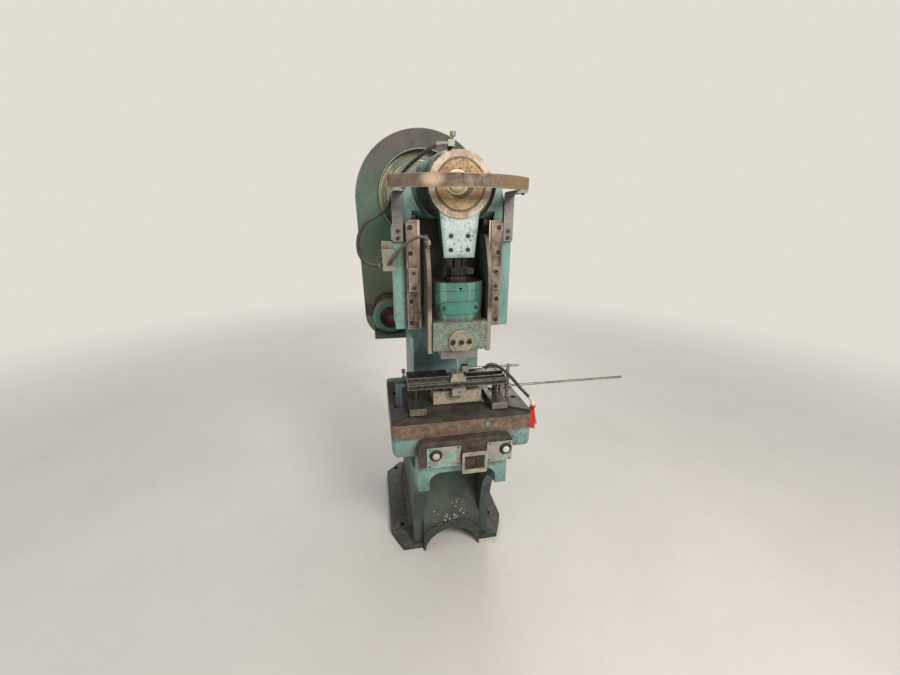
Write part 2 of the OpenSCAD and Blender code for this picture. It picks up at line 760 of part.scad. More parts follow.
// Teardrop outline of the belt guard, shrunk by an inset
module guard_outline(inset) {
    hull() {
        translate([0, guard_z]) circle(guard_r - inset, $fn = 120);
        translate([-motor_x + 2, lobe_z]) circle(lobe_r - inset, $fn = 72);
    }
}

module belt_guard() {
    color([0.36, 0.34, 0.29]) difference() {
        union() {
            slab(guard_front, guard_back) guard_outline(0);
            rod_y(opening_r, guard_front - lip_len, guard_front + 1, 0, crank_z);
        }
        slab(guard_front + sheet_t, guard_back + 1) guard_outline(sheet_t);
        rod_y(opening_r - sheet_t, guard_front - lip_len - 1, guard_front + sheet_t + 1, 0, crank_z);
        rod_y(60, guard_front - 1, guard_front + sheet_t + 1, -motor_x, motor_z);
        for (x = [-1, 1]) shank_hole(x * bracket_x, bracket_z, guard_front - 1, guard_front + sheet_t + 1, 6);
    }
}

module guard_rear_cover() {
    color([0.38, 0.37, 0.32]) difference() {
        slab(guard_back, guard_back + sheet_t) guard_outline(-6);
        for (a = [0 : 30 : 330]) rod_y(9, guard_back - 1, guard_back + sheet_t + 1, 140 * cos(a), crank_z + 140 * sin(a));
    }
}

// Angle irons that carry the belt guard behind the casting, with their screws
module guard_brackets() {
    color([0.30, 0.42, 0.38]) for (side = [-1, 1]) {
        x = side * bracket_x;
        z = bracket_z;
        difference() {
            union() {
                block(x - 30, x + 30, column_back, column_back + 10, z - 30, z + 30);
                block(x - 30, x + 30, guard_front - 10, guard_front, z - 30, z + 30);
                block(x - 4, x + 4, column_back + 9, guard_front - 9, z - 30, z + 30);
                block(x - 25, x + 25, column_back + 9, guard_front - 9, z - 30, z - 22);
            }
            for (dx = [-18, 18]) {
                shank_hole(x + dx, z, column_back - 1, column_back + 11, 6);
                shank_hole(x + dx, z, guard_front - 11, guard_front + 1, 6);
            }
        }
    }
}

module motor_housing() {
    color([0.33, 0.38, 0.34]) {
        y0 = cowl_front + cowl_len;
        difference() {
            union() {
                rod_y(body_r, y0, motor_back, -motor_x, motor_z);
                rod_y(body_r + 10, motor_back - 22, motor_back, -motor_x, motor_z);
                for (i = [0 : fin_count - 1]) translate([-motor_x, y0 + 6, motor_z]) rotate([0, 360 * i / fin_count, 0])
                    translate([-1.5, 0, 0]) cube([3, body_len - 34, body_r + 11]);
                for (y = [y0 + 30, motor_back - 70], x = [-1, 1])
                    block(-motor_x + x * 66 - 26, -motor_x + x * 66 + 26, y, y + 40, shelf_z + 10, shelf_z + 24);
                for (y = [y0 + 30, motor_back - 70], x = [-1, 1])
                    block(-motor_x + x * 58 - 14, -motor_x + x * 58 + 14, y, y + 40, shelf_z + 20, motor_z - 40);
            }
            rod_y(rotor_r + 0.4, motor_back - 80, motor_back + 1, -motor_x, motor_z);
            for (y = [y0 + 50, motor_back - 50], x = [-1, 1])
                rod_z(5 + pin_gap, shelf_z + 9, shelf_z + 25, -motor_x + x * 80, y);
        }
    }
}

// The cowl over the motor's fan, with its slotted grille and hub
module fan_cowl() {
    color([0.40, 0.36, 0.29]) difference() {
        turned_y(-motor_x, motor_z) polygon([[0, cowl_front], [cowl_r - 14, cowl_front], [cowl_r, cowl_front + 14],
            [cowl_r, cowl_front + cowl_len], [cowl_r - 4, cowl_front + cowl_len], [cowl_r - 4, cowl_front + 16],
            [cowl_r - 16, cowl_front + 4], [0, cowl_front + 4]]);
        intersection() {
            difference() {
                rod_y(60, cowl_front - 1, cowl_front + 5, -motor_x, motor_z);
                rod_y(18, cowl_front - 2, cowl_front + 6, -motor_x, motor_z);
            }
            for (i = [-5 : 5]) block(-motor_x + i * 10.5 - 3, -motor_x + i * 10.5 + 3, cowl_front - 2, cowl_front + 6,
                motor_z - 60, motor_z + 60);
        }
    }
}

module terminal_box() {
    color([0.34, 0.36, 0.31]) {
        x = -motor_x - body_r - 11;
        y = cowl_front + cowl_len + 60;
        block(x - 44, x, y, y + 110, motor_z - 6, motor_z + 56);
        block(x - 49, x - 44, y - 3, y + 113, motor_z - 9, motor_z + 59);
        rod_z(13, motor_z - 24, motor_z - 6, x - 24, y + 55);
    }
}

// Shelf on the column's back that carries the motor, slotted to tighten the belts
module motor_shelf() {
    color([0.38, 0.55, 0.50]) difference() {
        union() {
            block(-motor_x - 96, -6, column_back, motor_back, shelf_z - 4, shelf_z + 10);
            block(-146, -6, column_back, column_back + 16, shelf_z - 84, shelf_z + 10);
            for (x = [-140, -26]) plate_x(x, x + 14) polygon([[column_back + 15, shelf_z - 3],
                [motor_back - 60, shelf_z - 3], [column_back + 15, shelf_z - 80]]);
        }
        for (y = [cowl_front + cowl_len + 50, motor_back - 50], x = [-1, 1])
            rod_z(5 + pin_gap, shelf_z - 5, shelf_z + 11, -motor_x + x * 80, y);
        for (x = [-110, -30], z = [-60, -20]) shank_hole(x, shelf_z + z, column_back - 1, column_back + 17, 6);
    }
}

module control_box() {
    color([0.36, 0.33, 0.29]) difference() {
        union() {
            slab(box_front + 6, -bed_reach) {
                round_box(-box_left, box_right, box_bottom, box_bottom + box_h, 24);
                translate([-box_left + 8, box_bottom]) square([box_left + box_right - 16, 40]);
            }
            for (x = [[-box_left + 30, switch_x - switch_w / 2 - 4], [switch_x + switch_w / 2 + 4, box_right - 2]])
                slab(box_front, box_front + 7) round_box(x[0], x[1], box_bottom + 2, box_bottom + box_h - 22, 4);
        }
        for (x = palm_x) rod_y(palm_r - 5 + seat_gap, box_front - 1, box_front + 30, x, palm_z);
        for (x = [-box_left + 40, box_right - 40]) shank_hole(x, bed_bottom + 26, box_front + 20, -bed_reach + 1, 4);
    }
}

// The raised switch box with the window that holds the start and stop buttons
module switch_box() {
    x0 = switch_x - switch_w / 2;
    color([0.55, 0.53, 0.49]) difference() {
        slab(switch_front, box_front + 6) round_box(x0, x0 + switch_w, switch_z, switch_z + switch_h, 6);
        block(x0 - 1, x0 + switch_w + 1, box_front, box_front + 7, box_bottom, switch_z + switch_h + 1);
        block(x0 + 16, x0 + switch_w - 16, switch_front - 1, switch_front + 4, key_z - 15, key_z + 15);
        for (x = key_x) block(switch_x + x - 17, switch_x + x + 17, switch_front, switch_front + 14,
            key_z - 12, key_z + 12);
    }
    color([0.30, 0.29, 0.27]) for (x = [8, switch_w - 8], z = [8, switch_h - 8])
        rod_y(3.5, switch_front - 2, switch_front, x0 + x, switch_z + z);
}

module button_collars() {
    color([0.13, 0.12, 0.12]) for (x = palm_x) difference() {
        rod_y(palm_r + 5, box_front - 9, box_front, x, palm_z);
        rod_y(palm_r + seat_gap, box_front - 10, box_front - 4, x, palm_z);
        rod_y(palm_r - 5 + seat_gap, box_front - 10, box_front + 1, x, palm_z);
    }
}

// A palm button: domed cap, with a stem that runs into the box
module palm_button(x) {
    under = box_front - 4 - seat_gap - palm_travel;
    turned_y(x, palm_z) polygon([[0, under - 4.7], [palm_r - 5, under - 3.9], [palm_r - 1, under - 1.7],
        [palm_r, under], [palm_r - 5, under], [palm_r - 5, box_front + 20], [0, box_front + 20]]);
}

module palm_button_left() { color([0.88, 0.82, 0.80]) palm_button(palm_x[0]); }
module palm_button_right() { color([0.90, 0.89, 0.86]) palm_button(palm_x[1]); }

module key_button(x) {
    block(switch_x + x - 16.5, switch_x + x + 16.5, switch_front - 1, switch_front + 14 - key_travel - seat_gap,
        key_z - 11.5, key_z + 11.5);
}

module start_button() { color([0.08, 0.16, 0.12]) key_button(key_x[1]); }
module stop_button() { color([0.45, 0.16, 0.14]) key_button(key_x[0]); }

module lubricator_block() {
    color([0.62, 0.64, 0.58]) difference() {
        block(-block_x - block_w, -block_x, 20, block_back, block_z, block_z + block_h);
        block(-block_x - block_w - 1, -block_x + 1, 19, head_front + 1, block_z + 80, block_z + block_h + 1);
        for (z = block_screw_z) rod_x(4 + pin_gap, -block_x - block_w - 1, -block_x + 1, block_screw_y, z);
    }
}

module lube_hose() { color([0.14, 0.13, 0.12]) tube(spline(lube_points, 2), lube_r, 10); }
module ram_hose() { color([0.25, 0.23, 0.21]) tube(spline(ram_hose_points, 2), ram_hose_r, 10); }
module blow_hose() { color([0.08, 0.08, 0.08]) tube(spline(blow_points, 2), blow_r, 10); }

// Red air valve on the bed's right side, with the ring that holds the blow hose
module air_valve() {
    y = -bed_reach + bed_corner_r + 1;
    color([0.80, 0.12, 0.10]) difference() {
        union() {
            slab(y, y + 30) polygon([[bed_half_w, bed_top - 78], [bed_half_w + 25, bed_top - 84],
                [bed_half_w + 27, bed_top - 36], [bed_half_w + 18, bed_top + 8], [bed_half_w, bed_top]]);
            rod_x(9, bed_half_w + 24, bed_half_w + 36, y + 15, bed_top - 60);
        }
        rod_x(4, bed_half_w + 30, bed_half_w + 37, y + 15, bed_top - 60);
    }
    color([0.70, 0.10, 0.09]) rod_z(11, bed_top + 8, bed_top + 19, bed_half_w + 16, blow_points[0][1]);
}

module parallel_strips() {
    color([0.42, 0.40, 0.37]) for (x = strip_x) difference() {
        block(x - strip_w / 2, x + strip_w / 2, -105, 60, bolster_top, strip_top);
        rod_z(6 + pin_gap, bolster_top - 1, strip_top + 1, x, 40);
        rod_z(7 + pin_gap, strip_top - 14, strip_top + 1, x, stud_y);
    }
}

// Pillars between the strips and the die bed, and the screws that hold the strips
module clamp_studs() {
    color([0.30, 0.29, 0.28]) for (x = strip_x) {
        rod_z(stud_r, strip_top, die_bed_z, x, stud_y);
        rod_z(7, strip_top - 12, strip_top + 1, x, stud_y);
        rod_z(6, bolster_top - 20, strip_top + 1, x, 40);
        translate([x, 40, strip_top]) cylinder(r = 10, h = 8, $fn = 6);
    }
}

module base_block() {
    color([0.52, 0.47, 0.40]) block(-102, 102, -22, 62, bolster_top, bolster_top + base_block_h);
}

module die_bed() {
    color([0.22, 0.21, 0.20]) difference() {
        block(-die_bed_half, die_bed_half, -44, 46, die_bed_z, die_bed_top);
        block(-die_bed_half - 1, die_bed_half + 1, -45, -37, die_bed_top - 7, die_bed_top + 1);
        rod_z(8, die_bed_z - 1, die_bed_top + 1, 0, punch_y);
    }
    color([0.22, 0.21, 0.20]) block(-60, 60, -22, 46, bolster_top + base_block_h, die_bed_z);
    guide_plates();
}

// Strips on the die bed that guide the sheet
module guide_plates() {
    color([0.22, 0.21, 0.20]) {
        difference() {
            block(-die_bed_half, -38, -30, 46, die_bed_top, die_bed_top + guide_t);
            for (x = [-90, -180], y = [26]) rod_z(5, die_bed_top + 8, die_bed_top + guide_t + 1, x, y);
        }
        difference() {
            block(38, die_bed_half - 6, -4, 46, die_bed_top, die_bed_top + guide_t);
            for (x = [80, 170], y = [26]) rod_z(5, die_bed_top + 8, die_bed_top + guide_t + 1, x, y);
        }
        rod_x(5, 38, die_bed_half - 2, -20, die_bed_top + 5);
    }
}

// Die block with the hole that the punch enters, and the block screwed under it
module die_blocks() {
    color([0.74, 0.71, 0.64]) difference() {
        union() {
            block(-34, 30, -52, 20, die_bed_top, die_bed_top + 18);
            block(-26, 20, -46, 14, die_bed_top + 17, die_block_top);
        }
        rod_z(punch_r + 0.1, die_bed_top - 1, die_block_top + 1, 0, punch_y);
    }
    color([0.50, 0.50, 0.50]) difference() {
        block(-28, 28, -62, -22 - seat_gap, die_bed_z - 30, die_bed_z);
        rod_y(5, -63, -56, 0, die_bed_z - 15);
    }
}

// Long stop rod, its bracket post and collars at the bed's right
module stop_rod() {
    color([0.52, 0.50, 0.48]) {
        rod_x(stop_rod_r, stop_rod_start, stop_rod_end, stop_rod_y, stop_rod_z);
        difference() {
            rod_x(13, stop_bracket_x + 14, stop_bracket_x + 32, stop_rod_y, stop_rod_z);
            rod_x(stop_rod_r + pin_gap, stop_bracket_x + 13, stop_bracket_x + 33, stop_rod_y, stop_rod_z);
        }
        difference() {
            rod_x(10, stop_bracket_x + 42, stop_bracket_x + 54, stop_rod_y, stop_rod_z);
            rod_x(stop_rod_r + pin_gap, stop_bracket_x + 41, stop_bracket_x + 55, stop_rod_y, stop_rod_z);
        }
        difference() {
            block(stop_bracket_x, stop_bracket_x + 14, stop_rod_y - 13, stop_rod_y + 13, bolster_top, stop_rod_z + 12);
            rod_x(stop_rod_r + pin_gap, stop_bracket_x - 1, stop_bracket_x + 15, stop_rod_y, stop_rod_z);
        }
    }
}

// Upright at the right, the rod that it carries and the brown feeler block on the rod's end
module cross_rod() {
    color([0.35, 0.31, 0.28]) {
        difference() {
            block(cross_post_x, cross_post_x + 12, cross_y - 5, stop_rod_y - 14, bolster_top, cross_rod_z + 8);
            rod_x(5 + pin_gap, cross_post_x - 1, cross_post_x + 13, cross_y, cross_rod_z);
        }
        rod_x(5, 46, cross_post_x + 54, cross_y, cross_rod_z);
    }
    color([0.42, 0.28, 0.18]) difference() {
        block(22, 48, cross_y - 15, cross_y + 13, cross_rod_z - 10, cross_rod_z + 16);
        rod_x(5 + pin_gap, 45.9, 49, cross_y, cross_rod_z);
    }
}

// Clamp, stop pin and knob at the die bed's left end
module side_clamp() {
    color([0.30, 0.33, 0.40]) {
        block(-die_bed_half - 46, -die_bed_half, -12, 24, die_bed_z + 6, die_bed_z + 18);
        block(-die_bed_half - 46, -die_bed_half - 22, -12, 24, bolster_top, die_bed_z + 6);
    }
    color([0.45, 0.44, 0.42]) {
        rod_z(4, die_bed_z + 18, die_bed_top + 34, -die_bed_half - 12, 6);
        rod_z(8, die_bed_top + 34, die_bed_top + 48, -die_bed_half - 12, 6);
    }
}

// One piece: pin, web, journals and the tail on which the flywheel turns
module crankshaft() {
    color([0.38, 0.37, 0.35]) union() {
        rod_y(pin_r, -big_front + 6, web_front + 1, pin_x, pin_z);
        rod_y(web_r, web_front, web_front + web_t, 0, crank_z);
        rod_y(journal_r, web_front + web_t - 1, boss_end + 120, 0, crank_z);
        rod_y(tail_r, boss_end + 119, wheel_back + 34, 0, crank_z);
    }
}

// The eccentric bush on the crank pin: turning it on the pin sets the stroke
module eccentric_bush() {
    color([0.62, 0.52, 0.38]) difference() {
        union() {
            rod_y(ecc_r, -big_front - 2, big_len - big_front - 2, 0, ecc_z);
            rod_y(ecc_r + 6, big_len - big_front + seat_gap, web_front - seat_gap, 0, ecc_z);
            rod_y(ecc_r - 4, 0, web_front - seat_gap, 0, ecc_z);
        }
        rod_y(pin_r + pin_gap, -big_front - 3, web_front, pin_x, pin_z);
    }
}

module pin_cap() {
    color([0.66, 0.60, 0.50]) difference() {
        turned_y(pin_x, pin_z) polygon([[0, -big_front - 10], [28, -big_front - 10], [34, -big_front - 6],
            [34, -big_front - 2], [pin_r - 2, -big_front - 2], [pin_r - 2, -big_front + 6], [0, -big_front + 6]]);
        translate([pin_x, -big_front - 6, pin_z]) rotate([90, 0, 0]) cylinder(r = 9, h = 5, $fn = 6);
    }
}

module brake_drum() {
    color([0.30, 0.33, 0.30]) turned_y(0, crank_z) polygon([[journal_r + pin_gap, boss_end + 12],
        [drum_r - 24, boss_end + 12], [drum_r - 24, boss_end + 6], [drum_r, boss_end + 6], [drum_r, boss_end + 78],
        [drum_r - 12, boss_end + 78], [drum_r - 12, boss_end + 30], [journal_r + 26, boss_end + 30],
        [journal_r + 26, boss_end + 90], [journal_r + pin_gap, boss_end + 90]]);
}

module conrod() {
    color([0.66, 0.72, 0.64]) difference() {
        union() {
            rod_y(big_r, -big_front, big_len - big_front, 0, ecc_z);
            slab(rod_front, rod_front + rod_t) polygon([[-rod_foot_half_w, rod_bottom], [rod_foot_half_w, rod_bottom],
                [rod_neck_half_w, rod_bottom + 157], [rod_neck_half_w + 14, ecc_z - 60],
                [-rod_neck_half_w - 14, ecc_z - 60], [-rod_neck_half_w, rod_bottom + 157]]);
        }
        rod_y(ecc_r + run_gap, -big_front - 1, big_len - big_front + 1, 0, ecc_z);
        rod_z(screw_r + pin_gap, rod_bottom - 1, rod_bottom + screw_in, 0, 3);
        for (x = [-33, 33], z = [28, 79]) {
            shank_hole(x, rod_bottom + z, rod_front - 1, rod_front + 30, 4);
            rod_y(9, rod_front - 1, rod_front + 7, x, rod_bottom + z);
        }
        rod_z(4 + pin_gap, ecc_z + 98, ecc_z + big_r + 1, -38, -20);
        rod_z(9, ecc_z + big_r - 6.2, ecc_z + big_r + 1, -38, -20);
    }
}

module conrod_screws() {
    color([0.35, 0.33, 0.30]) for (x = [-33, 33], z = [28, 79])
        cap_screw(x, rod_bottom + z, rod_front + 7, 7.5, 6, 4, 21);
}

// Grease fitting on the big end: stem, banjo block and a capped nipple
module oil_fitting() {
    color([0.60, 0.62, 0.55]) {
        rod_z(4, ecc_z + 99, ecc_z + 124, -38, -20);
        rod_z(8, ecc_z + big_r - 6.1, ecc_z + 123, -38, -20);
        block(-49, -27, -55, -12, ecc_z + 122, ecc_z + 142);
        rod_z(3, ecc_z + 141, ecc_z + 156, -31, -40);
        rod_z(10, ecc_z + 155, ecc_z + 170, -31, -40);
    }
}

// Adjusting screw with its thin neck and ball end
module adjusting_screw() {
    color([0.40, 0.38, 0.36]) union() {
        rod_z(screw_r, rod_bottom - 40, rod_bottom + screw_in - 2, 0, 3);
        rod_z(15, ball_z, rod_bottom - 39, 0, 3);
        intersection() {
            translate([0, 3, ball_z]) sphere(ball_r);
            block(-ball_r, ball_r, 3 - ball_r, 3 + ball_r, ball_z - ball_r, ball_z + 24);
        }
    }
}

// Split lock collar with its clamp bolt
module lock_collar() {
    z = rod_bottom - 37 - collar_h;
    color([0.28, 0.26, 0.25]) difference() {
        union() {
            rod_z(collar_r, z, z + collar_h, 0, 3);
            block(24, 56, -34, -2, z + 3, z + collar_h - 3);
        }
        rod_z(screw_r + pin_gap, z - 1, z + collar_h + 1, 0, 3);
        block(10, 60, -17, -14, z - 1, z + collar_h + 1);
        for (a = [200 : 36 : 272]) translate([collar_r * cos(a), 3 + collar_r * sin(a), z - 1]) cylinder(r = 4, h = 60, $fn = 24);
    }
    color([0.50, 0.48, 0.45]) translate([40, -34, z + collar_h / 2]) rotate([90, 0, 0]) difference() {
        cylinder(r = 10, h = 9);
        translate([0, 0, 4]) cylinder(r = 5, h = 9, $fn = 6);
    }
}

// Plan outline of the ram's upper body, with its round front
module ram_upper_outline() {
    intersection() {
        translate([-ram_half_w, -ram_reach]) square([2 * ram_half_w, ram_reach + ram_back]);
        union() {
            translate([0, ram_front_r - ram_reach + 8]) circle(ram_front_r);
            translate([-ram_half_w, ram_front_r - ram_reach + 8 - 72])
                square([2 * ram_half_w, ram_back + ram_reach]);
        }
    }
}

// Side profile of the ram's side plates, with their tall round-topped ears
module side_outline() {
    polygon(concat([[-side_reach, ram_bottom - 13], [-side_reach, ram_top - 10]],
        bend([-side_reach, ram_top - 10], [-side_reach + 10, ram_top + 60], [-8, ram_top + 130], 8),
        bend([-8, ram_top + 130], [10, ear_top], [46, ear_top], 8),
        [[flange_y0 + 10, ear_top], [flange_y0 + 10, ram_bottom - 13]]));
}

module ram() {
    color([0.42, 0.60, 0.50]) difference() {
        union() {
            translate([0, 0, ram_step + 4]) linear_extrude(ram_top - ram_step - 4) ram_upper_outline();
            block(-ram_foot_half_w + 4, ram_foot_half_w - 4, -ram_reach + 9, ram_back, ram_step - 1, ram_step + 5);
            block(-ram_foot_half_w, ram_foot_half_w, -ram_reach, ram_back, ram_bottom, ram_step);
            block(-side_in - 1, side_in + 1, 40, flange_y1, ram_bottom, ram_top - 30);
            both_sides() plate_x(side_in, side_in + side_t) side_outline();
            both_sides() block(side_in + side_t - 1, way_half_w - way_gap, flange_y0, flange_y1, head_bottom + 3, ear_top);
            both_sides() block(side_in + 1, side_in + side_t, flange_y0 - 1, flange_y1, head_bottom + 3, ear_top);
        }
        rod_z(well_r, ball_z - 12, ram_top + 1, 0, 3);
        translate([0, 3, ball_z - 12]) rod_z(well_r, -26, 1, 0, 0);
        rod_z(20 + pin_gap, ram_bottom - 1, ram_bottom + 56, 0, -10);
        translate([0, 0, ram_top - 33]) difference() {
            linear_extrude(2) offset(delta = 1) ram_upper_outline();
            linear_extrude(2) offset(delta = -2.5) ram_upper_outline();
            block(-200, 200, 45, 300, -1, 3);
        }
        rod_y(5, -ram_reach, 0, 0, ram_top - 22);
        for (x = [-65, 65]) shank_hole(x, cover_z, -60, 10, 3);
        for (x = [-33, 0, 33]) shank_hole(x, clamp_z, -ram_reach - 1, -ram_reach + 21, 5);
        rod_y(clamp_r + seat_gap, -ram_reach - 1, -ram_reach + 8, 0, clamp_z);
        rod_x(4, -side_in - 40, -side_in + 1, -22, ram_top + 112);
    }
}

// Bronze dish under the ball, with room for the ball's path to the side
module ball_seat() {
    color([0.66, 0.50, 0.28]) difference() {
        rod_z(well_r - seat_gap, ball_z - 38, ball_z - 24, 0, 3);
        rod_z(ball_r + 8, ball_z - ball_r - ball_float + 0.2, ball_z, 0, 3);
    }
}

module retaining_ring() {
    color([0.45, 0.43, 0.40]) difference() {
        union() {
            rod_z(ring_r, ram_top, ram_top + ring_h - 6, 0, 3);
            rod_z(ring_r - 6, ram_top, ram_top + ring_h, 0, 3);
        }
        rod_z(15 + throw + 1, ram_top - 1, ram_top + ring_h + 1, 0, 3);
        for (a = [210 : 30 : 330]) translate([ring_r * cos(a), 3 + ring_r * sin(a), ram_top + 4])
            cylinder(r = 3.5, h = ring_h, $fn = 24);
    }
}

// Oval cover on the ram's round front
module ram_cover() {
    color([0.38, 0.58, 0.50]) difference() {
        intersection() {
            slab(-ram_reach - 20, 40) {
                translate([-cover_half_w + cover_h / 2, cover_z - cover_h / 2])
                    square([2 * cover_half_w - cover_h, cover_h]);
                for (x = [-1, 1]) translate([x * (cover_half_w - cover_h / 2), cover_z]) circle(cover_h / 2);
            }
            translate([0, ram_front_r - ram_reach + 8, cover_z - 60]) difference() {
                cylinder(r = ram_front_r + 7, h = 120);
                translate([0, 0, -1]) cylinder(r = ram_front_r + pin_gap, h = 122);
            }
        }
        for (x = [-65, 65]) shank_hole(x, cover_z, -ram_reach - 30, 10, 3);
    }
}

// Half-round clamp plate that holds the tool shank
module shank_clamp() {
    color([0.52, 0.49, 0.43]) difference() {
        union() {
            rod_y(clamp_r, -ram_reach - 10, -ram_reach + 8 - seat_gap, 0, clamp_z);
            rod_y(clamp_r - 14, -ram_reach - 14, -ram_reach - 9, 0, clamp_z);
        }
        block(-clamp_r - 1, clamp_r + 1, -ram_reach - 15, -ram_reach + 9, clamp_z - clamp_r - 1, ram_bottom);
        for (x = [-33, 0, 33]) shank_hole(x, clamp_z, -ram_reach - 15, -ram_reach + 9, 5);
        for (x = [-33, 33]) rod_y(11, -ram_reach - 15, -ram_reach - 10, x, clamp_z);
    }
}

// Screws of the cover and the shank clamp
module ram_screws() {
    color([0.20, 0.19, 0.19]) {
        for (x = [-65, 65]) cap_screw(x, cover_z, cover_screw_y(), 6, 4, 3, 18);
        for (x = [-33, 33]) cap_screw(x, clamp_z, -ram_reach - 10, 9.5, 9, 5, 28);
        cap_screw(0, clamp_z, -ram_reach - 14, 9.5, 9, 5, 32);
    }
}
function cover_screw_y() = ram_front_r - ram_reach + 8 - sqrt(pow(ram_front_r + 7, 2) - 65 * 65) - 4;

module punch_holder() {
    color([0.50, 0.49, 0.47]) difference() {
        union() {
            block(-73, 73, -53, 40, ram_bottom - holder_t, ram_bottom - seat_gap);
            rod_z(20, ram_bottom - 1, ram_bottom + 54, 0, -10);
        }
        rod_z(punch_r + 3 + pin_gap, ram_bottom - holder_t - 1, ram_bottom - holder_t + 26, 0, punch_y);
    }
}

module punch() {
    color([0.70, 0.69, 0.66]) {
        rod_z(punch_r + 3, ram_bottom - holder_t - 24, ram_bottom - holder_t + 25, 0, punch_y);
        rod_z(punch_r, ram_bottom - holder_t - punch_len, ram_bottom - holder_t - 23, 0, punch_y);
    }
}

// Flywheel with a recessed web, a heavy rim and the belt grooves
module flywheel() {
    web_y = wheel_front + 30;
    color([0.42, 0.44, 0.32]) difference() {
        turned_y(0, crank_z) difference() {
            union() {
                translate([wheel_r - 62, wheel_front]) square([62, wheel_w]);
                translate([90, web_y]) square([wheel_r - 120, 40]);
                translate([tail_r + run_gap, wheel_front + 2]) square([90 - tail_r, wheel_w + 22]);
            }
            for (i = [0 : belt_count - 1]) translate([wheel_r, belt_y + i * belt_pitch])
                polygon([[1, -9], [1, 9], [-groove_d, 6], [-groove_d, -6]]);
        }
        for (a = [15 : 30 : 345]) translate([0, 0, crank_z]) rotate([0, a, 0])
            rod_y(6, wheel_front - 1, wheel_front + 12, 0, wheel_r - 30);
    }
}

module clutch_housing() {
    color([0.34, 0.36, 0.31]) turned_y(0, crank_z) polygon([[tail_r + run_gap, boss_end + 150],
        [clutch_r - 30, boss_end + 150], [clutch_r, boss_end + 180], [clutch_r, wheel_front - 20],
        [86, wheel_front - 20], [86, wheel_front + 2], [tail_r + run_gap, wheel_front + 2]]);
}

// Loop of one belt round the flywheel and the pulley
module belt_outline(wheel, pulley) {
    hull() {
        translate([0, crank_z]) circle(wheel, $fn = 160);
        translate([-motor_x, motor_z]) circle(pulley, $fn = 80);
    }
}

module v_belts() {
    color([0.09, 0.09, 0.09]) for (i = [0 : belt_count - 1]) {
        y = belt_y + i * belt_pitch;
        slab(y - belt_w / 2, y + belt_w / 2) difference() {
            belt_outline(wheel_r - 2, pulley_r - 2);
            belt_outline(wheel_r - 2 - belt_h, pulley_r - 2 - belt_h);
        }
    }
}

module motor_shaft() {
    color([0.55, 0.54, 0.52]) rod_y(rotor_r, motor_back - 70, belt_y + belt_count * belt_pitch + 2, -motor_x, motor_z);
}

module motor_pulley() {
    y0 = belt_y - 16;
    y1 = belt_y + (belt_count - 1) * belt_pitch + 16;
    color([0.30, 0.30, 0.29]) turned_y(-motor_x, motor_z) difference() {
        union() {
            translate([rotor_r + pin_gap, y0]) square([pulley_r - rotor_r, y1 - y0]);
            translate([rotor_r + pin_gap, y0 - 22]) square([18, 30]);
        }
        for (i = [0 : belt_count - 1]) translate([pulley_r, belt_y + i * belt_pitch])
            polygon([[1, -9], [1, 9], [-groove_d, 6], [-groove_d, -6]]);
    }
}

frame_casting();
slug_chute();
bolster_plate();
bolster_bolts();
bearing_bushes();
gib_left();
gib_right();
knockout_stops();
head_screws();
guard_posts();
guard_bar();
belt_guard();
guard_rear_cover();
guard_brackets();
motor_housing();
fan_cowl();
terminal_box();
motor_shelf();
control_box();
switch_box();
button_collars();
palm_button_left();
palm_button_right();
start_button();
stop_button();
lubricator_block();
lube_hose();
ram_hose();
air_valve();
parallel_strips();
clamp_studs();
base_block();
die_bed();
die_blocks();
stop_rod();
cross_rod();
blow_hose();
side_clamp();
crankshaft();
eccentric_bush();
pin_cap();
brake_drum();
conrod();
conrod_screws();
oil_fitting();
adjusting_screw();
lock_collar();
ram();
ball_seat();
retaining_ring();
ram_cover();
shank_clamp();
ram_screws();
punch_holder();
punch();
flywheel();
clutch_housing();
v_belts();
motor_shaft();
motor_pulley();
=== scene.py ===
"""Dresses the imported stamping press: hoses, cast fillets, small fittings and every part's worn finish."""

import logging
import math
from dataclasses import dataclass
from enum import Enum
from typing import ClassVar

import bmesh
import bpy
import numpy as np
from mathutils import Matrix


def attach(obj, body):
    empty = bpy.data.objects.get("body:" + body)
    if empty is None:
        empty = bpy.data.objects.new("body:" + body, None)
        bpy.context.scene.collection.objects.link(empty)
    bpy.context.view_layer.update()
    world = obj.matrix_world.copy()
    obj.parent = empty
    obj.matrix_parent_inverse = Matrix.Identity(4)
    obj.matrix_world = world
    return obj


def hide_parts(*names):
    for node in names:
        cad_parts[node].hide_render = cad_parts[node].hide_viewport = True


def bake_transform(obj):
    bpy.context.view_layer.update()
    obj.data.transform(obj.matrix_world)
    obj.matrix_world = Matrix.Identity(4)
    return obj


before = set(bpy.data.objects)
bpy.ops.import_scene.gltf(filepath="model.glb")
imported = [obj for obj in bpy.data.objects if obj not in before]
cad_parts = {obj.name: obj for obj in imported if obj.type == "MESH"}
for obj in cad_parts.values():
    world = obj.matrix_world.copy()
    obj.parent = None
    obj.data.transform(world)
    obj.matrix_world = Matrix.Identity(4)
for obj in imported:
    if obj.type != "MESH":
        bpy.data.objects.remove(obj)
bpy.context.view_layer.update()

log = logging.getLogger("press")
Point = tuple[float, float, float]
Pair = tuple[float, float]
Link = bpy.types.NodeSocket

# Axes that run along Y, as X and Z
SHAFT = (0.0, 1.734)
CRANK_PIN = (0.0, 1.716)
PIN_CAP = (-0.012, 1.724)
MOTOR = (-0.234, 1.054)

# Rays that a bevel or an occlusion node sends, and the angle from which an edge is sharp
RAYS = 6
CREASE = math.radians(38)


# Numbers and colours on a surface


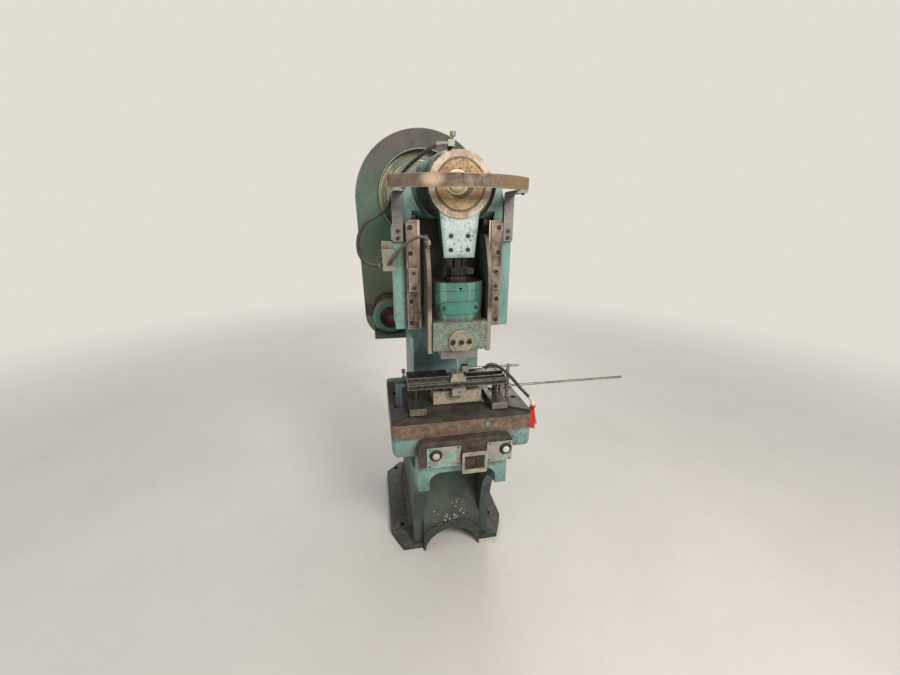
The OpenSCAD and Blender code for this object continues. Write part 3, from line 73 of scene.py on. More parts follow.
class Value:
    """One number that varies over a surface: a socket with the operators of arithmetic."""

    def __init__(self, board: "Board", socket: Link) -> None:
        """Wraps a socket of a board."""
        self.board, self.socket = board, socket

    def math(self, operation: str, first: "Value | float", second: "Value | float",
             clamp: bool = False) -> "Value":
        """One Math node on two numbers.

        Args:
            operation: The node's operation.
            first: The number on the left.
            second: The number on the right.
            clamp: Whether the result stays from 0 to 1.

        Returns:
            The node's result.
        """
        settings = {"operation": operation, "use_clamp": clamp}
        return self.board.value("ShaderNodeMath", settings, {0: first, 1: second})

    def __add__(self, other: "Value | float") -> "Value":
        """Sum."""
        return self.math("ADD", self, other)

    def __sub__(self, other: "Value | float") -> "Value":
        """Difference."""
        return self.math("SUBTRACT", self, other)

    def __rsub__(self, other: float) -> "Value":
        """Difference from a number on the left."""
        return self.math("SUBTRACT", other, self)

    def __mul__(self, other: "Value | float") -> "Value":
        """Product."""
        return self.math("MULTIPLY", self, other)

    __radd__, __rmul__ = __add__, __mul__

    def clipped(self) -> "Value":
        """Kept from 0 to 1."""
        return self.math("ADD", self, 0.0, clamp=True)

    def most(self, other: "Value") -> "Value":
        """The larger of two."""
        return self.math("MAXIMUM", self, other)

    def ramp(self, start: float, end: float) -> "Value":
        """A smooth step from 0 at start to 1 at end; start may be the larger."""
        return self.board.value("ShaderNodeMapRange", {"interpolation_type": "SMOOTHSTEP"},
                                {0: self, 1: start, 2: end, 3: 0.0, 4: 1.0})

    def below(self, limit: float) -> "Value":
        """1 under a limit and 0 over it, within a millimetre."""
        return self.ramp(limit + 0.001, limit - 0.001)

    def within(self, low: float, start: float, end: float, high: float) -> "Value":
        """1 from start to end and 0 past low and high, with smooth steps between."""
        return self.ramp(low, start) * self.ramp(high, end)

    def tones(self, start: float, end: float, first: "str | Link", second: "str | Link") -> Link:
        """Two colours that change from the first at start to the second at end."""
        return self.board.mix(self.ramp(start, end), first, second)


def linear(code: str) -> tuple[float, float, float, float]:
    """A colour written as #rrggbb, as linear light: each part c becomes ((c + 0.055) / 1.055) ** 2.4.

    Args:
        code: The colour.

    Returns:
        Red, green and blue, each from 0 to 1, and 1.
    """
    parts = np.array([int(code[i:i + 2], 16) for i in (1, 3, 5)]) / 255
    light = np.where(parts <= 0.04045, parts / 12.92, ((parts + 0.055) / 1.055) ** 2.4)
    return (*(float(c) for c in light), 1.0)


class Board:
    """The nodes of a material or of the world."""

    def __init__(self, owner: bpy.types.ID) -> None:
        """Empties the owner's node tree.

        Args:
            owner: The material or the world.
        """
        owner.use_nodes = True
        self.tree = owner.node_tree
        self.tree.nodes.clear()

    def node(self, kind: str, settings: dict, values: dict) -> bpy.types.Node:
        """Makes one node.

        Args:
            kind: The node's type.
            settings: Its own properties, such as a Math node's operation.
            values: What its sockets get, by index or name.

        Returns:
            The node.
        """
        made = self.tree.nodes.new(kind)
        for key, value in settings.items():
            setattr(made, key, value)
        for key, value in values.items():
            self.feed(made.inputs[key], value)
        return made

    def feed(self, socket: Link, value: object) -> None:
        """Links a socket or sets it.

        Args:
            socket: The socket.
            value: A Value or a link, or else a number, a vector or a colour as #rrggbb.
        """
        value = value.socket if isinstance(value, Value) else value
        if isinstance(value, Link):
            self.tree.links.new(value, socket)
        else:
            socket.default_value = linear(value) if isinstance(value, str) else value

    def value(self, kind: str, settings: dict, values: dict, output: int | str = 0) -> Value:
        """The number that a node gives at one of its outputs."""
        return Value(self, self.node(kind, settings, values).outputs[output])

    def mix(self, mask: Value | float, first: str | Link, second: str | Link) -> Link:
        """Two colours by a mask: the first where it is 0 and the second where it is 1."""
        return self.node("ShaderNodeMix", {"data_type": "RGBA"}, {0: mask, 6: first, 7: second}).outputs[2]

    def over(self, colour: str | Link, *layers: tuple[Value, str | Link]) -> Link:
        """Lays tints on a colour, one over the other.

        Args:
            colour: The colour below.
            layers: Pairs of a mask and the tint that shows where the mask is 1.

        Returns:
            The colour with its layers.
        """
        for mask, tint in layers:
            colour = self.mix(mask, colour, tint)
        return colour


class Surface(Board):
    """A material in the making: the place and facing of a point, and the point's look so far.

    A first coat may keep two noises, mid and fine, for the zones.
    """

    mid: Value
    fine: Value

    def __init__(self, name: str) -> None:
        """Starts with a bare shader and the surface's own coordinates.

        Args:
            name: The material's name.
        """
        self.material = bpy.data.materials.new(name)
        super().__init__(self.material)
        self.shader = self.node("ShaderNodeBsdfPrincipled", {}, {})
        self.out = self.node("ShaderNodeOutputMaterial", {}, {0: self.shader.outputs[0]})
        own = self.node("ShaderNodeTexCoord", {}, {}).outputs
        self.place = own["Object"]
        place, facing = (self.node("ShaderNodeSeparateXYZ", {}, {0: own[k]}) for k in ("Object", "Normal"))
        self.x, self.y, self.z = (Value(self, s) for s in place.outputs)
        self.back, self.up = (Value(self, s) for s in facing.outputs[1:])
        self.colour, self.rough, self.metal, self.relief, self.coat = "#808080", 0.5, 0.0, 0.0, 0.0

    def at(self, scale: Point, shift: Point = (0, 0, 0)) -> Link:
        """The coordinates stretched and then shifted."""
        return self.node("ShaderNodeMapping", {}, {0: self.place, 1: shift, 3: scale}).outputs[0]

    def noise(self, scale: float, detail: float, rough: float, place: Link | None = None,
              warp: float = 0.0) -> Value:
        """Fractal noise, about 0.5 on the average.

        Args:
            scale: Features in a metre.
            detail: Octaves.
            rough: Share that each octave keeps.
            place: Coordinates, or None for the surface's own.
            warp: Distortion.

        Returns:
            The noise.
        """
        values = {"Vector": place or self.place, "Scale": scale, "Detail": detail, "Roughness": rough,
                  "Distortion": warp}
        return self.value("ShaderNodeTexNoise", {}, values)

    def cells(self, scale: float, place: Link | None = None) -> Value:
        """Distance to the nearest cell's centre, with a number of cells in a metre."""
        return self.value("ShaderNodeTexVoronoi", {}, {"Vector": place or self.place, "Scale": scale})

    def hollow(self, reach: float) -> Value:
        """1 deep in a corner and 0 in the open, by ambient occlusion."""
        return 1.0 - self.value("ShaderNodeAmbientOcclusion", {"samples": RAYS}, {"Distance": reach}, "AO")

    def edge(self, radius: float) -> Value:
        """How sharp an edge is, as one less the cosine between the true and a rounded normal.

        Args:
            radius: How far the rounding reaches, in metres.

        Returns:
            1 on a sharp edge and 0 on a flat face.
        """
        rounded = self.node("ShaderNodeBevel", {"samples": RAYS}, {"Radius": radius}).outputs[0]
        true = self.node("ShaderNodeNewGeometry", {}, {}).outputs["Normal"]
        settings = {"operation": "DOT_PRODUCT"}
        same = self.value("ShaderNodeVectorMath", settings, {0: rounded, 1: true}, "Value")
        return (1.0 - same).ramp(0.03, 0.22)

    def length(self, place: Link) -> Value:
        """How far coordinates are from their origin."""
        return self.value("ShaderNodeVectorMath", {"operation": "LENGTH"}, {0: place}, "Value")

    def radius(self, axis: Pair) -> Value:
        """Distance from an axis that runs along Y."""
        return self.length(self.at((1, 0, 1), (-axis[0], 0, -axis[1])))

    def rings(self, axis: Pair, scale: float, detail: float, rough: float) -> Value:
        """Noise in rings round an axis that runs along Y, because only the distance from it is the place."""
        away = self.node("ShaderNodeCombineXYZ", {}, {0: self.radius(axis)}).outputs[0]
        return self.noise(scale, detail, rough, away)

    def cover(self, *layers: tuple[Value, str | Link]) -> None:
        """Lays tints on the look so far, each where its mask is 1."""
        self.colour = self.over(self.colour, *layers)

    def finish(self, depth: float) -> bpy.types.Material:
        """Connects the shader.

        Args:
            depth: Height of the relief in metres.

        Returns:
            The material.
        """
        bump = self.node("ShaderNodeBump", {}, {"Strength": 1.0, "Distance": depth, "Height": self.relief})
        for key, value in {"Base Color": self.colour, "Roughness": self.rough, "Metallic": self.metal,
                           "Coat Weight": self.coat, "Normal": bump.outputs[0]}.items():
            self.feed(self.shader.inputs[key], value)
        if isinstance(self.coat, Value):
            self.shader.inputs["Coat Roughness"].default_value = 0.14
        return self.material


# Finishes


@dataclass(frozen=True)
class Finish:
    """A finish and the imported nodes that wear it: a first coat all over, and zones where a part has them."""

    name: str
    nodes: str
    depth: ClassVar[float] = 0.0011

    def lay(self, b: Surface) -> None:
        """Lays the first coat."""
        raise NotImplementedError

    def zones(self, b: Surface) -> None:
        """Adds the part's own zones; a plain finish has none."""

    def build(self) -> bpy.types.Material:
        """Lays the coat and the zones.

        Returns:
            The finished material.
        """
        b = Surface(self.name)
        self.lay(b)
        self.zones(b)
        return b.finish(self.depth)


@dataclass(frozen=True)
class Enamel(Finish):
    """Old brushed enamel on cast iron: patchy colour, dirt in hollows, dust on top, chips and dark specks."""

    paint: str
    faded: str
    grime: str = "#2a2722"
    bare: str = "#5b4636"
    dust: str = "#8d8270"
    soil: float = 0.7
    chips: float = 0.5
    specks: float = 0.5
    dusty: float = 0.35
    gloss: float = 0.42
    edge: float = 0.005

    def lay(self, b: Surface) -> None:
        """Paint, then dirt, dust, specks and chips over it.

        Args:
            b: The bare surface.
        """
        broad, mid, fine = b.noise(2.2, 4, 0.6), b.noise(15, 6, 0.65, warp=0.4), b.noise(95, 4, 0.72)
        streak, cloud = b.noise(30, 4, 0.6, b.at((1, 1, 0.16))), b.noise(5.5, 6, 0.62, warp=0.8)
        film = ((b.hollow(0.07).ramp(0.12, 0.75) * 0.9 + mid.ramp(0.52, 0.78) * 0.4
                 + streak.ramp(0.55, 0.75) * 0.35) * self.soil).clipped()
        dust = b.up.ramp(0.55, 0.95) * (0.45 + mid * 0.9) * self.dusty
        dots = b.cells(150).ramp(0.30, 0.16) * fine.ramp(0.46, 0.62) * self.specks
        wear = b.edge(self.edge) * 0.75 + fine * 0.55 + mid * 0.45 + self.chips * 0.5 - 0.78
        chip = wear.ramp(0.28, 0.42)
        b.colour = broad.tones(0.34, 0.66, self.paint, self.faded)
        b.cover((cloud.ramp(0.5, 0.68) * 0.55 * self.soil, "#554c40"),
                (mid.ramp(0.35, 0.7) * 0.35, b.mix(0.45, self.paint, self.grime)),
                (film, self.grime), (dust.clipped(), self.dust), (dots.clipped(), self.grime),
                (chip * 0.9, fine.tones(0.4, 0.6, self.bare, "#8b7a68")))
        b.rough = (self.gloss + film * 0.28 + dust * 0.3 + chip * 0.2 + (fine - 0.5) * 0.16).clipped()
        b.metal = chip * 0.35
        b.relief = mid * 0.5 + fine * 0.3 - chip * 0.45 - dots * 0.3


@dataclass(frozen=True)
class CastingEnamel(Enamel):
    """The frame's enamel: rusty iron in a band round the bed, oily iron in the guides and on the bed."""

    depth: ClassVar[float] = 0.0012
    bed_top: float = 0.837
    bed_back: Pair = (0.275, 0.255)
    band_low: Pair = (0.764, 0.778)
    guide_x2: Pair = (0.0279, 0.0276)

    def zones(self, b: Surface) -> None:
        """Zones by height and side, with ragged borders; the guides by the square of X.

        Args:
            b: The enamelled surface.
        """
        ragged, fine = b.noise(28, 5, 0.7), b.noise(120, 3, 0.7)
        mid, soft = b.noise(9, 5, 0.6), b.noise(42, 6, 0.7)
        at_bed = (b.y + (ragged - 0.5) * 0.12).ramp(*self.bed_back)
        band = ((b.z + (ragged - 0.5) * 0.034).ramp(*self.band_low) * b.z.below(self.bed_top) * at_bed
                * (ragged * 1.1 + mid * 0.6).ramp(1.12, 0.98))
        left = (soft * 0.6 + ragged * 0.6).ramp(0.60, 0.68) * b.z.ramp(0.806, 0.786) * 0.85
        rust = b.over(soft.tones(0.36, 0.62, "#5d4a3d", "#7d6655"),
                      ((soft * 0.7 + fine * 0.4).ramp(0.62, 0.74), "#a8947c"),
                      (ragged.ramp(0.52, 0.66) * 0.8, "#3d2e25"),
                      (left, fine.tones(0.42, 0.58, "#5f8d80", "#5b5245")))
        bed = b.up.ramp(0.5, 0.9) * b.z.within(0.80, 0.82, 0.88, 0.90) * at_bed
        inside = ((b.x * b.x).ramp(*self.guide_x2) * b.z.within(1.15, 1.156, 1.596, 1.600)
                  * b.y.within(0.0765, 0.078, 0.19, 0.20))
        patchy = (soft * 0.8 + mid * 0.5).ramp(0.66, 0.78) * b.z.within(0.60, 0.66, 0.78, 0.80) * at_bed
        low = (b.z + (mid - 0.5) * 0.3 + (ragged - 0.5) * 0.15).ramp(0.66, 0.30) * 0.9
        foot = b.up.ramp(0.6, 0.9) * b.z.ramp(0.05, 0.04)
        b.cover((band.clipped(), rust), (bed, mid.tones(0.4, 0.62, "#3b3733", "#57514a")),
                (inside * (0.55 + mid * 0.6), "#3a2c22"), (patchy * 0.85, "#5d4f41"),
                (low, mid.tones(0.42, 0.6, "#252725", "#3f3e38")),
                (foot * 0.8, ragged.tones(0.4, 0.62, "#38352f", "#57524a")))
        b.rough = (b.rough + band * 0.25 + bed * 0.05 + low * 0.2 - inside * 0.12).clipped()
        b.metal = (b.metal + band * 0.15 + bed * 0.45).clipped()
        b.relief = b.relief + band * fine * 0.5


@dataclass(frozen=True)
class RodEnamel(Enamel):
    """The rod: pale worn paint in front, dark green at the sides, and the big end's bare tan face."""

    depth: ClassVar[float] = 0.0008
    face_r: Pair = (0.1185, 0.1165)
    bore_r: Pair = (0.097, 0.0915)

    def zones(self, b: Surface) -> None:
        """The front by the normal's -Y part, the ring by its distance from the crank pin.

        Args:
            b: The enamelled surface.
        """
        fine, mid, away = b.noise(130, 4, 0.72), b.noise(22, 5, 0.65), b.radius(CRANK_PIN)
        front, ring = b.back.ramp(-0.55, -0.85), away.ramp(*self.face_r)
        rubbed = b.edge(0.004) * fine.ramp(0.3, 0.6)
        specks = b.cells(85, b.at((1, 1, 0.6))).ramp(0.38, 0.14) * (mid * 0.6 + fine * 0.5).ramp(0.44, 0.6)
        pale = b.over(fine.tones(0.45, 0.62, "#b9c5c2", "#a2aeab"), (specks, "#33342b"),
                      ((mid * 0.7 + fine * 0.4).ramp(0.56, 0.7) * 0.8, "#6d7468"),
                      (b.edge(0.045) * (0.5 + mid * 0.9).clipped(), "#3f7261"))
        tan = b.over(mid.tones(0.38, 0.64, "#b5a48f", "#8a7660"), (fine.ramp(0.52, 0.68) * 0.8, "#5f4a38"),
                     (away.ramp(*self.bore_r) * 0.8, "#3a2a1f"))
        b.cover((front, b.mix(ring, pale, tan)),
                (ring * (1.0 - front) * 0.75, mid.tones(0.45, 0.6, "#4a4035", "#6f604e")),
                (rubbed * 0.7, "#9fa898"))
        b.rough = (b.rough + front * 0.08 + ring * 0.05).clipped()
        b.metal = (ring * 0.25 + rubbed * 0.2).clipped()
        b.relief = b.relief + fine * 0.3


@dataclass(frozen=True)
class RamEnamel(Enamel):
    """The ram: glossy green with painted highlight streaks above, worn grey-green below, rusty on top, and
    bare side plates with grease and painted shade on their sides.
    """

    depth: ClassVar[float] = 0.0009
    step_z: float = 1.213
    top_z: float = 1.365
    plate_x2: Pair = (0.01225, 0.01240)

    def zones(self, b: Surface) -> None:
        """Zones by height, by the square of X and by which way the face looks.

        Args:
            b: The enamelled surface.
        """
        fine, mid, tall = b.noise(120, 4, 0.72), b.noise(20, 5, 0.65), b.noise(24, 4, 0.6, b.at((1, 1, 0.12)))
        low = b.z.below(self.step_z)
        side, face = (b.x * b.x).ramp(*self.plate_x2), b.back.ramp(-0.5, -0.85)
        top = b.up.ramp(0.6, 0.9) * b.z.ramp(self.top_z - 0.004, self.top_z - 0.001) * (1.0 - side)
        seam = b.z.ramp(self.step_z + 0.03, self.step_z) * (mid * 0.7 + fine * 0.4).ramp(0.42, 0.6)
        worn = b.over(fine.tones(0.42, 0.62, "#74897b", "#53604f"), (mid.ramp(0.46, 0.66) * 0.8, "#665641"),
                      (b.cells(130).ramp(0.34, 0.14) * fine.ramp(0.42, 0.58), "#2f2b25"))
        tan = b.over(tall.tones(0.38, 0.62, "#6d5c4d", "#43362c"),
                     ((b.z + mid * 0.1).ramp(1.33, 1.28) * 0.6, "#aca38f"))
        rusty = b.over(mid.tones(0.42, 0.58, "#4c2f1f", "#1c1512"), (fine.ramp(0.6, 0.72), "#7d5539"))
        # The pale green upright streaks are painted highlights; the side plates' faces that do not look
        # forward are dark from grease and from painted shade
        b.cover((seam * 0.8, "#4a3b2b"), (tall.ramp(0.5, 0.66) * 0.35, "#7fb8a4"), (low, worn),
                (side, b.mix(face, tall.tones(0.4, 0.66, "#2d3733", "#4f4a40"), tan)), (top, rusty))
        b.rough = (b.rough + low * 0.14 + side * 0.3 + top * 0.05).clipped()
        b.metal = (side * face * 0.2 + b.metal).clipped()
        b.relief = b.relief + low * fine * 0.3
        b.coat = ((1.0 - side) * 0.7).clipped()


@dataclass(frozen=True)
class GuardEnamel(Enamel):
    """The belt guard's enamel: brown towards its top, green below, and olive at the motor that is painted
    light.
    """

    depth: ClassVar[float] = 0.0007
    brown_z: Pair = (1.60, 1.92)
    olive_z: Pair = (1.52, 1.22)

    def zones(self, b: Surface) -> None:
        """The brown and the painted light olive by height, with a ragged change.

        Args:
            b: The enamelled surface.
        """
        mid, wide = b.noise(7, 5, 0.6), b.noise(2.4, 4, 0.6)
        brown = (b.z + (wide - 0.5) * 0.35 + b.x * 0.15).ramp(*self.brown_z)
        # Painted light: a lighter olive on the guard's lower part, which lifts the shade that falls there
        low = (b.z + (wide - 0.5) * 0.3).ramp(*self.olive_z)
        b.cover((brown * 0.92, mid.tones(0.4, 0.65, "#5e534c", "#463d38")), (low * 0.7, "#848b69"))
        b.rough = (b.rough + brown * 0.12).clipped()


@dataclass(frozen=True)
class CowlEnamel(Enamel):
    """The motor's fan cowl: a green rim round a rusty brown grille, and a brown skin on top."""

    depth: ClassVar[float] = 0.0008
    grille_r: Pair = (0.066, 0.063)
    skin_r: Pair = (0.080, 0.090)

    def zones(self, b: Surface) -> None:
        """The rim and the grille by the distance from the motor's axis, the skin by the normal's Z part.

        Args:
            b: The enamelled surface.
        """
        mid, fine, away = b.noise(24, 5, 0.65), b.noise(110, 3, 0.7), b.radius(MOTOR)
        grille, skin = away.ramp(*self.grille_r), b.up.ramp(-0.1, 0.6) * away.ramp(*self.skin_r)
        b.cover((grille, mid.tones(0.42, 0.6, "#5d4132", "#3a2a20")),
                (skin * 0.9, fine.tones(0.4, 0.62, "#5c4f43", "#76685a")))
        b.rough = (b.rough + grille * 0.1).clipped()


@dataclass(frozen=True)
class ChuteEnamel(Enamel):
    """The slug chute: dim green that runs into a painted shadow below and to the right, with pale grit."""

    depth: ClassVar[float] = 0.0012
    shadow_z: Pair = (0.50, 0.10)
    grit_z: Pair = (0.32, 0.14)

    def zones(self, b: Surface) -> None:
        """The painted shadow and the grit by height and by X.

        Args:
            b: The enamelled surface.
        """
        mid, fine = b.noise(9, 5, 0.65), b.noise(110, 3, 0.7)
        # deep is a painted shadow, darker below and to the right where the bed's shade falls; it also roughens
        # the paint
        deep = (b.z + (mid - 0.5) * 0.25 - b.x * 0.6).ramp(*self.shadow_z)
        grit = b.cells(70).ramp(0.16, 0.07) * fine.ramp(0.5, 0.6) * b.z.ramp(*self.grit_z)
        b.cover((deep * 0.85, mid.tones(0.4, 0.62, "#2b2c28", "#45443d")), (grit, "#a9a69c"))
        b.rough = (b.rough + deep * 0.15).clipped()
        b.relief = b.relief + grit


class Grain(Enum):
    """Which way the tool marks on a metal run, as the stretch of their pattern."""

    NONE = (1.0, 1.0, 1.0)
    X = (0.04, 1.0, 1.0)
    Z = (1.0, 1.0, 0.04)
    TURNED = (0.0, 0.0, 0.0)


@dataclass(frozen=True)
class Steel(Finish):
    """Worn metal: tool marks, oil stains, rust, pits and rubbed edges."""

    metal: str
    stain: str
    depth: ClassVar[float] = 0.0006
    rust: str = "#6b4128"
    bright: str = "#b9b2a6"
    grime: str = "#1f1c19"
    rusting: float = 0.2
    pits: float = 0.2
    staining: float = 0.6
    soil: float = 0.7
    rough: float = 0.42
    metallic: float = 0.85
    grain: Grain = Grain.NONE
    centre: Pair = SHAFT
    edge: float = 0.004
    rub: float = 0.6

    def marks(self, b: Surface) -> Value:
        """The tool marks.

        Args:
            b: The surface.

        Returns:
            Noise in rings, in lines or in spots.
        """
        if self.grain is Grain.TURNED:
            return b.rings(self.centre, 260, 3, 0.7)
        if self.grain is Grain.NONE:
            return b.noise(70, 4, 0.7)
        return b.noise(620, 2, 0.55, b.at(self.grain.value))

    def lay(self, b: Surface) -> None:
        """Metal, then tool marks, rubbed edges, rust, pits and dirt over it.

        Args:
            b: The bare surface, which keeps the two noises for its zones.
        """
        b.mid, b.fine = mid, fine = b.noise(26, 6, 0.66), b.noise(140, 4, 0.72)
        lines, broad, hollow = self.marks(b), b.noise(6, 5, 0.62, warp=0.5), b.hollow(0.03)
        stain = ((broad * 0.6 + mid * 0.55).ramp(0.5, 0.68) * self.staining).clipped()
        rub = b.edge(self.edge) * (0.35 + fine * 0.9) * self.rub
        rust = (mid * 0.7 + fine * 0.45 + hollow * 0.15 + self.rusting * 0.55).ramp(0.80, 0.92)
        pit = b.cells(170).ramp(0.36, 0.14) * mid.ramp(0.62 - self.pits * 0.4, 0.78 - self.pits * 0.4)
        film = (hollow.ramp(0.2, 0.8) * self.soil).clipped()
        b.colour = b.mix(stain, self.metal, self.stain)
        b.cover((lines.ramp(0.38, 0.66) * 0.28, b.mix(0.5, self.metal, self.bright)),
                (rub.clipped(), self.bright), (rust, fine.tones(0.4, 0.62, self.rust, "#3d281c")),
                ((pit * self.pits * 1.6).clipped(), self.grime), (film, self.grime))
        b.rough = (self.rough + stain * 0.16 + rust * 0.3 + film * 0.15 + (lines - 0.5) * 0.22
                   - rub * 0.1).clipped()
        b.metal = ((1.0 - rust * 0.8) * (1.0 - film * 0.5) * self.metallic).clipped()
        b.relief = lines * 0.35 + mid * 0.25 - pit * 0.4 * self.pits + rust * 0.3


@dataclass(frozen=True)
class BoxSteel(Steel):
    """The control box: oily brown above and on its left slope, worn to silver and turquoise on its panels."""

    panel_y: Pair = (-0.2035, -0.2045)

    def zones(self, b: Surface) -> None:
        """The panels by how far a face stands out to the front, with vertical streaks of paint left on them.

        Args:
            b: The metal surface.
        """
        front = b.back.ramp(-0.6, -0.9) * b.y.ramp(*self.panel_y)
        streak, broad = b.noise(60, 5, 0.7, b.at((1, 1, 0.22))), b.noise(14, 4, 0.6)
        b.cover(((streak * 0.8 + broad * 0.6).ramp(0.66, 0.80) * 0.85,
                 b.fine.tones(0.4, 0.62, "#6fa497", "#8fbdb0")),
                ((broad * 0.7 + b.mid * 0.4).ramp(0.58, 0.72) * 0.6, "#5a4d3f"),
                (1.0 - front, b.mid.tones(0.4, 0.62, "#40372f", "#5c5045")))


@dataclass(frozen=True)
class SwitchSteel(Steel):
    """The switch box: a bare bright rim round a dark sunk panel."""

    middle: Pair = (0.75, 23.6)
    per_metre: Pair = (25.0, 34.5)

    def zones(self, b: Surface) -> None:
        """The panel where the larger of |a x - c| and |e z - d| is under 1, on faces that look forward.

        Args:
            b: The metal surface.
        """
        across, upright = (v * k - m for v, k, m in zip((b.x, b.z), self.per_metre, self.middle))
        panel = (across * across).most(upright * upright).ramp(1.12, 0.92) * b.back.ramp(-0.6, -0.9)
        b.cover((b.back.ramp(-0.5, -0.2) * 0.85, "#4b4136"),
                (panel, b.mid.tones(0.4, 0.6, "#28241f", "#443b31")))


@dataclass(frozen=True)
class BarSteel(Steel):
    """The guard's bar: brown skin, bright at one place left of the middle, tan towards the right."""

    spot: Point = (-0.118, -0.13, 1.725)
    spot_r: Pair = (0.055, 0.012)
    tan_x: Pair = (0.12, 0.27)

    def zones(self, b: Surface) -> None:
        """The bright spot by the distance from its place, which counts more along Z, and the tan end by X.

        Args:
            b: The metal surface.
        """
        stretch = np.array([1.0, 1.0, 1.6])
        away = b.length(b.at(tuple(stretch), tuple(-stretch * self.spot)))
        spot = away.ramp(*self.spot_r) * (b.fine * 0.8 + b.mid * 0.5).ramp(0.42, 0.62)
        b.cover(((b.x + b.mid * 0.12).ramp(*self.tan_x) * 0.5, "#a3865f"), (spot * 0.8, "#d9bfa0"))


@dataclass(frozen=True)
class GibSteel(Steel):
    """The gib plates: oily copper brown, dark in streaks, with their inner edge rubbed pale by the ram and
    carrying a painted highlight.
    """

    strip_x2: Pair = (0.02205, 0.02150)

    def zones(self, b: Surface) -> None:
        """The rubbed strip, which is partly a painted highlight, by the square of X; oil runs down in streaks.

        Args:
            b: The metal surface.
        """
        runs = b.noise(34, 5, 0.65, b.at((1, 1, 0.18)))
        # The pale strip is partly wear from the ram and partly a painted highlight on the inner edge
        strip = (b.x * b.x).ramp(*self.strip_x2) * b.back.ramp(-0.5, -0.9)
        b.cover((runs.ramp(0.52, 0.66) * 0.7, "#2c211b"),
                ((runs * 0.6 + b.fine * 0.5).ramp(0.42, 0.30) * 0.6, "#9c7d66"),
                (strip * (0.5 + b.mid * 0.7), "#cdb79d"))


@dataclass(frozen=True)
class EndSteel(Steel):
    """Ground bars: dark oily tops, and front ends worn pale."""

    def zones(self, b: Surface) -> None:
        """Pale where a face looks to the front, dark where it looks up.

        Args:
            b: The metal surface.
        """
        pale = (b.mid * 0.6 + b.fine * 0.5).tones(0.45, 0.66, "#a79e90", "#6d645a")
        b.cover((b.back.ramp(-0.5, -0.9) * 0.8, pale), (b.up.ramp(0.5, 0.9) * 0.6, "#4a453f"))


@dataclass(frozen=True)
class BushSteel(Steel):
    """The crank bush's face: rust above, tan below, and dark oil rings at its border and round the pin."""

    rust_z: float = 1.70
    border_r: Pair = (0.083, 0.0895)
    pin_r: Pair = (0.052, 0.045)

    def zones(self, b: Surface) -> None:
        """Rust by height over the centre; rings by the distance from it.

        Args:
            b: The metal surface.
        """
        mid, fine, away = b.mid, b.fine, b.radius(self.centre)
        rust = (b.z - self.rust_z + (mid - 0.5) * 0.16).ramp(-0.01, 0.05)
        spots = b.cells(95).ramp(0.42, 0.2) * fine.ramp(0.4, 0.55)
        oil = (away.ramp(*self.border_r) * 0.85).most(away.ramp(*self.pin_r) * 0.7)
        b.cover((rust * (mid * 0.6 + fine * 0.6).ramp(0.48, 0.66) * 0.9, "#7c5a3c"),
                (rust * spots, "#40291a"), (oil, "#33261a"))


@dataclass(frozen=True)
class WheelFace(Finish):
    """The flywheel's turned face: olive paint rubbed to bare metal in rings round its axis."""

    depth: ClassVar[float] = 0.0004
    paint: str = "#6c7156"
    faded: str = "#50543f"

    def lay(self, b: Surface) -> None:
        """Paint and metal by the distance from the axis, in fine rings.

        Args:
            b: The bare surface.
        """
        rings, mid, fine = b.rings(SHAFT, 90, 5, 0.75), b.noise(8, 5, 0.65), b.noise(120, 4, 0.7)
        bare = (rings * 0.9 + mid * 0.5).ramp(0.68, 0.86)
        film = (b.hollow(0.05).ramp(0.25, 0.85) * 0.75).clipped()
        b.colour = b.over(mid.tones(0.36, 0.66, self.paint, self.faded),
                          (bare * 0.8, rings.tones(0.4, 0.6, "#8d8768", "#b7ae8d")), (film, "#24211c"))
        b.rough = (0.48 - bare * 0.16 + film * 0.2 + (fine - 0.5) * 0.15).clipped()
        b.metal = (bare * 0.7).clipped()
        b.relief = rings * 0.6 + fine * 0.2


@dataclass(frozen=True)
class Moulded(Finish):
    """Plastic or rubber: one body colour, with soil in its hollows and dust on top."""

    body: str
    depth: ClassVar[float] = 0.0003
    soil: str = "#3b342c"
    dust: str = "#8d8475"
    soiling: float = 0.5
    dusty: float = 0.3
    rough: float = 0.4

    def lay(self, b: Surface) -> None:
        """The body colour under its soil and dust.

        Args:
            b: The bare surface.
        """
        mid, fine = b.noise(45, 5, 0.65), b.noise(260, 4, 0.7)
        soil = ((b.hollow(0.012).ramp(0.15, 0.7) + mid.ramp(0.5, 0.75) * 0.5) * self.soiling).clipped()
        dust = (b.up.ramp(0.2, 0.95) * (0.3 + mid) * self.dusty).clipped()
        b.colour = b.over(self.body, (soil, self.soil), (dust, self.dust))
        b.rough = (self.rough + soil * 0.2 + dust * 0.35 + (fine - 0.5) * 0.18).clipped()
        b.relief = fine * 0.5 + mid * 0.3


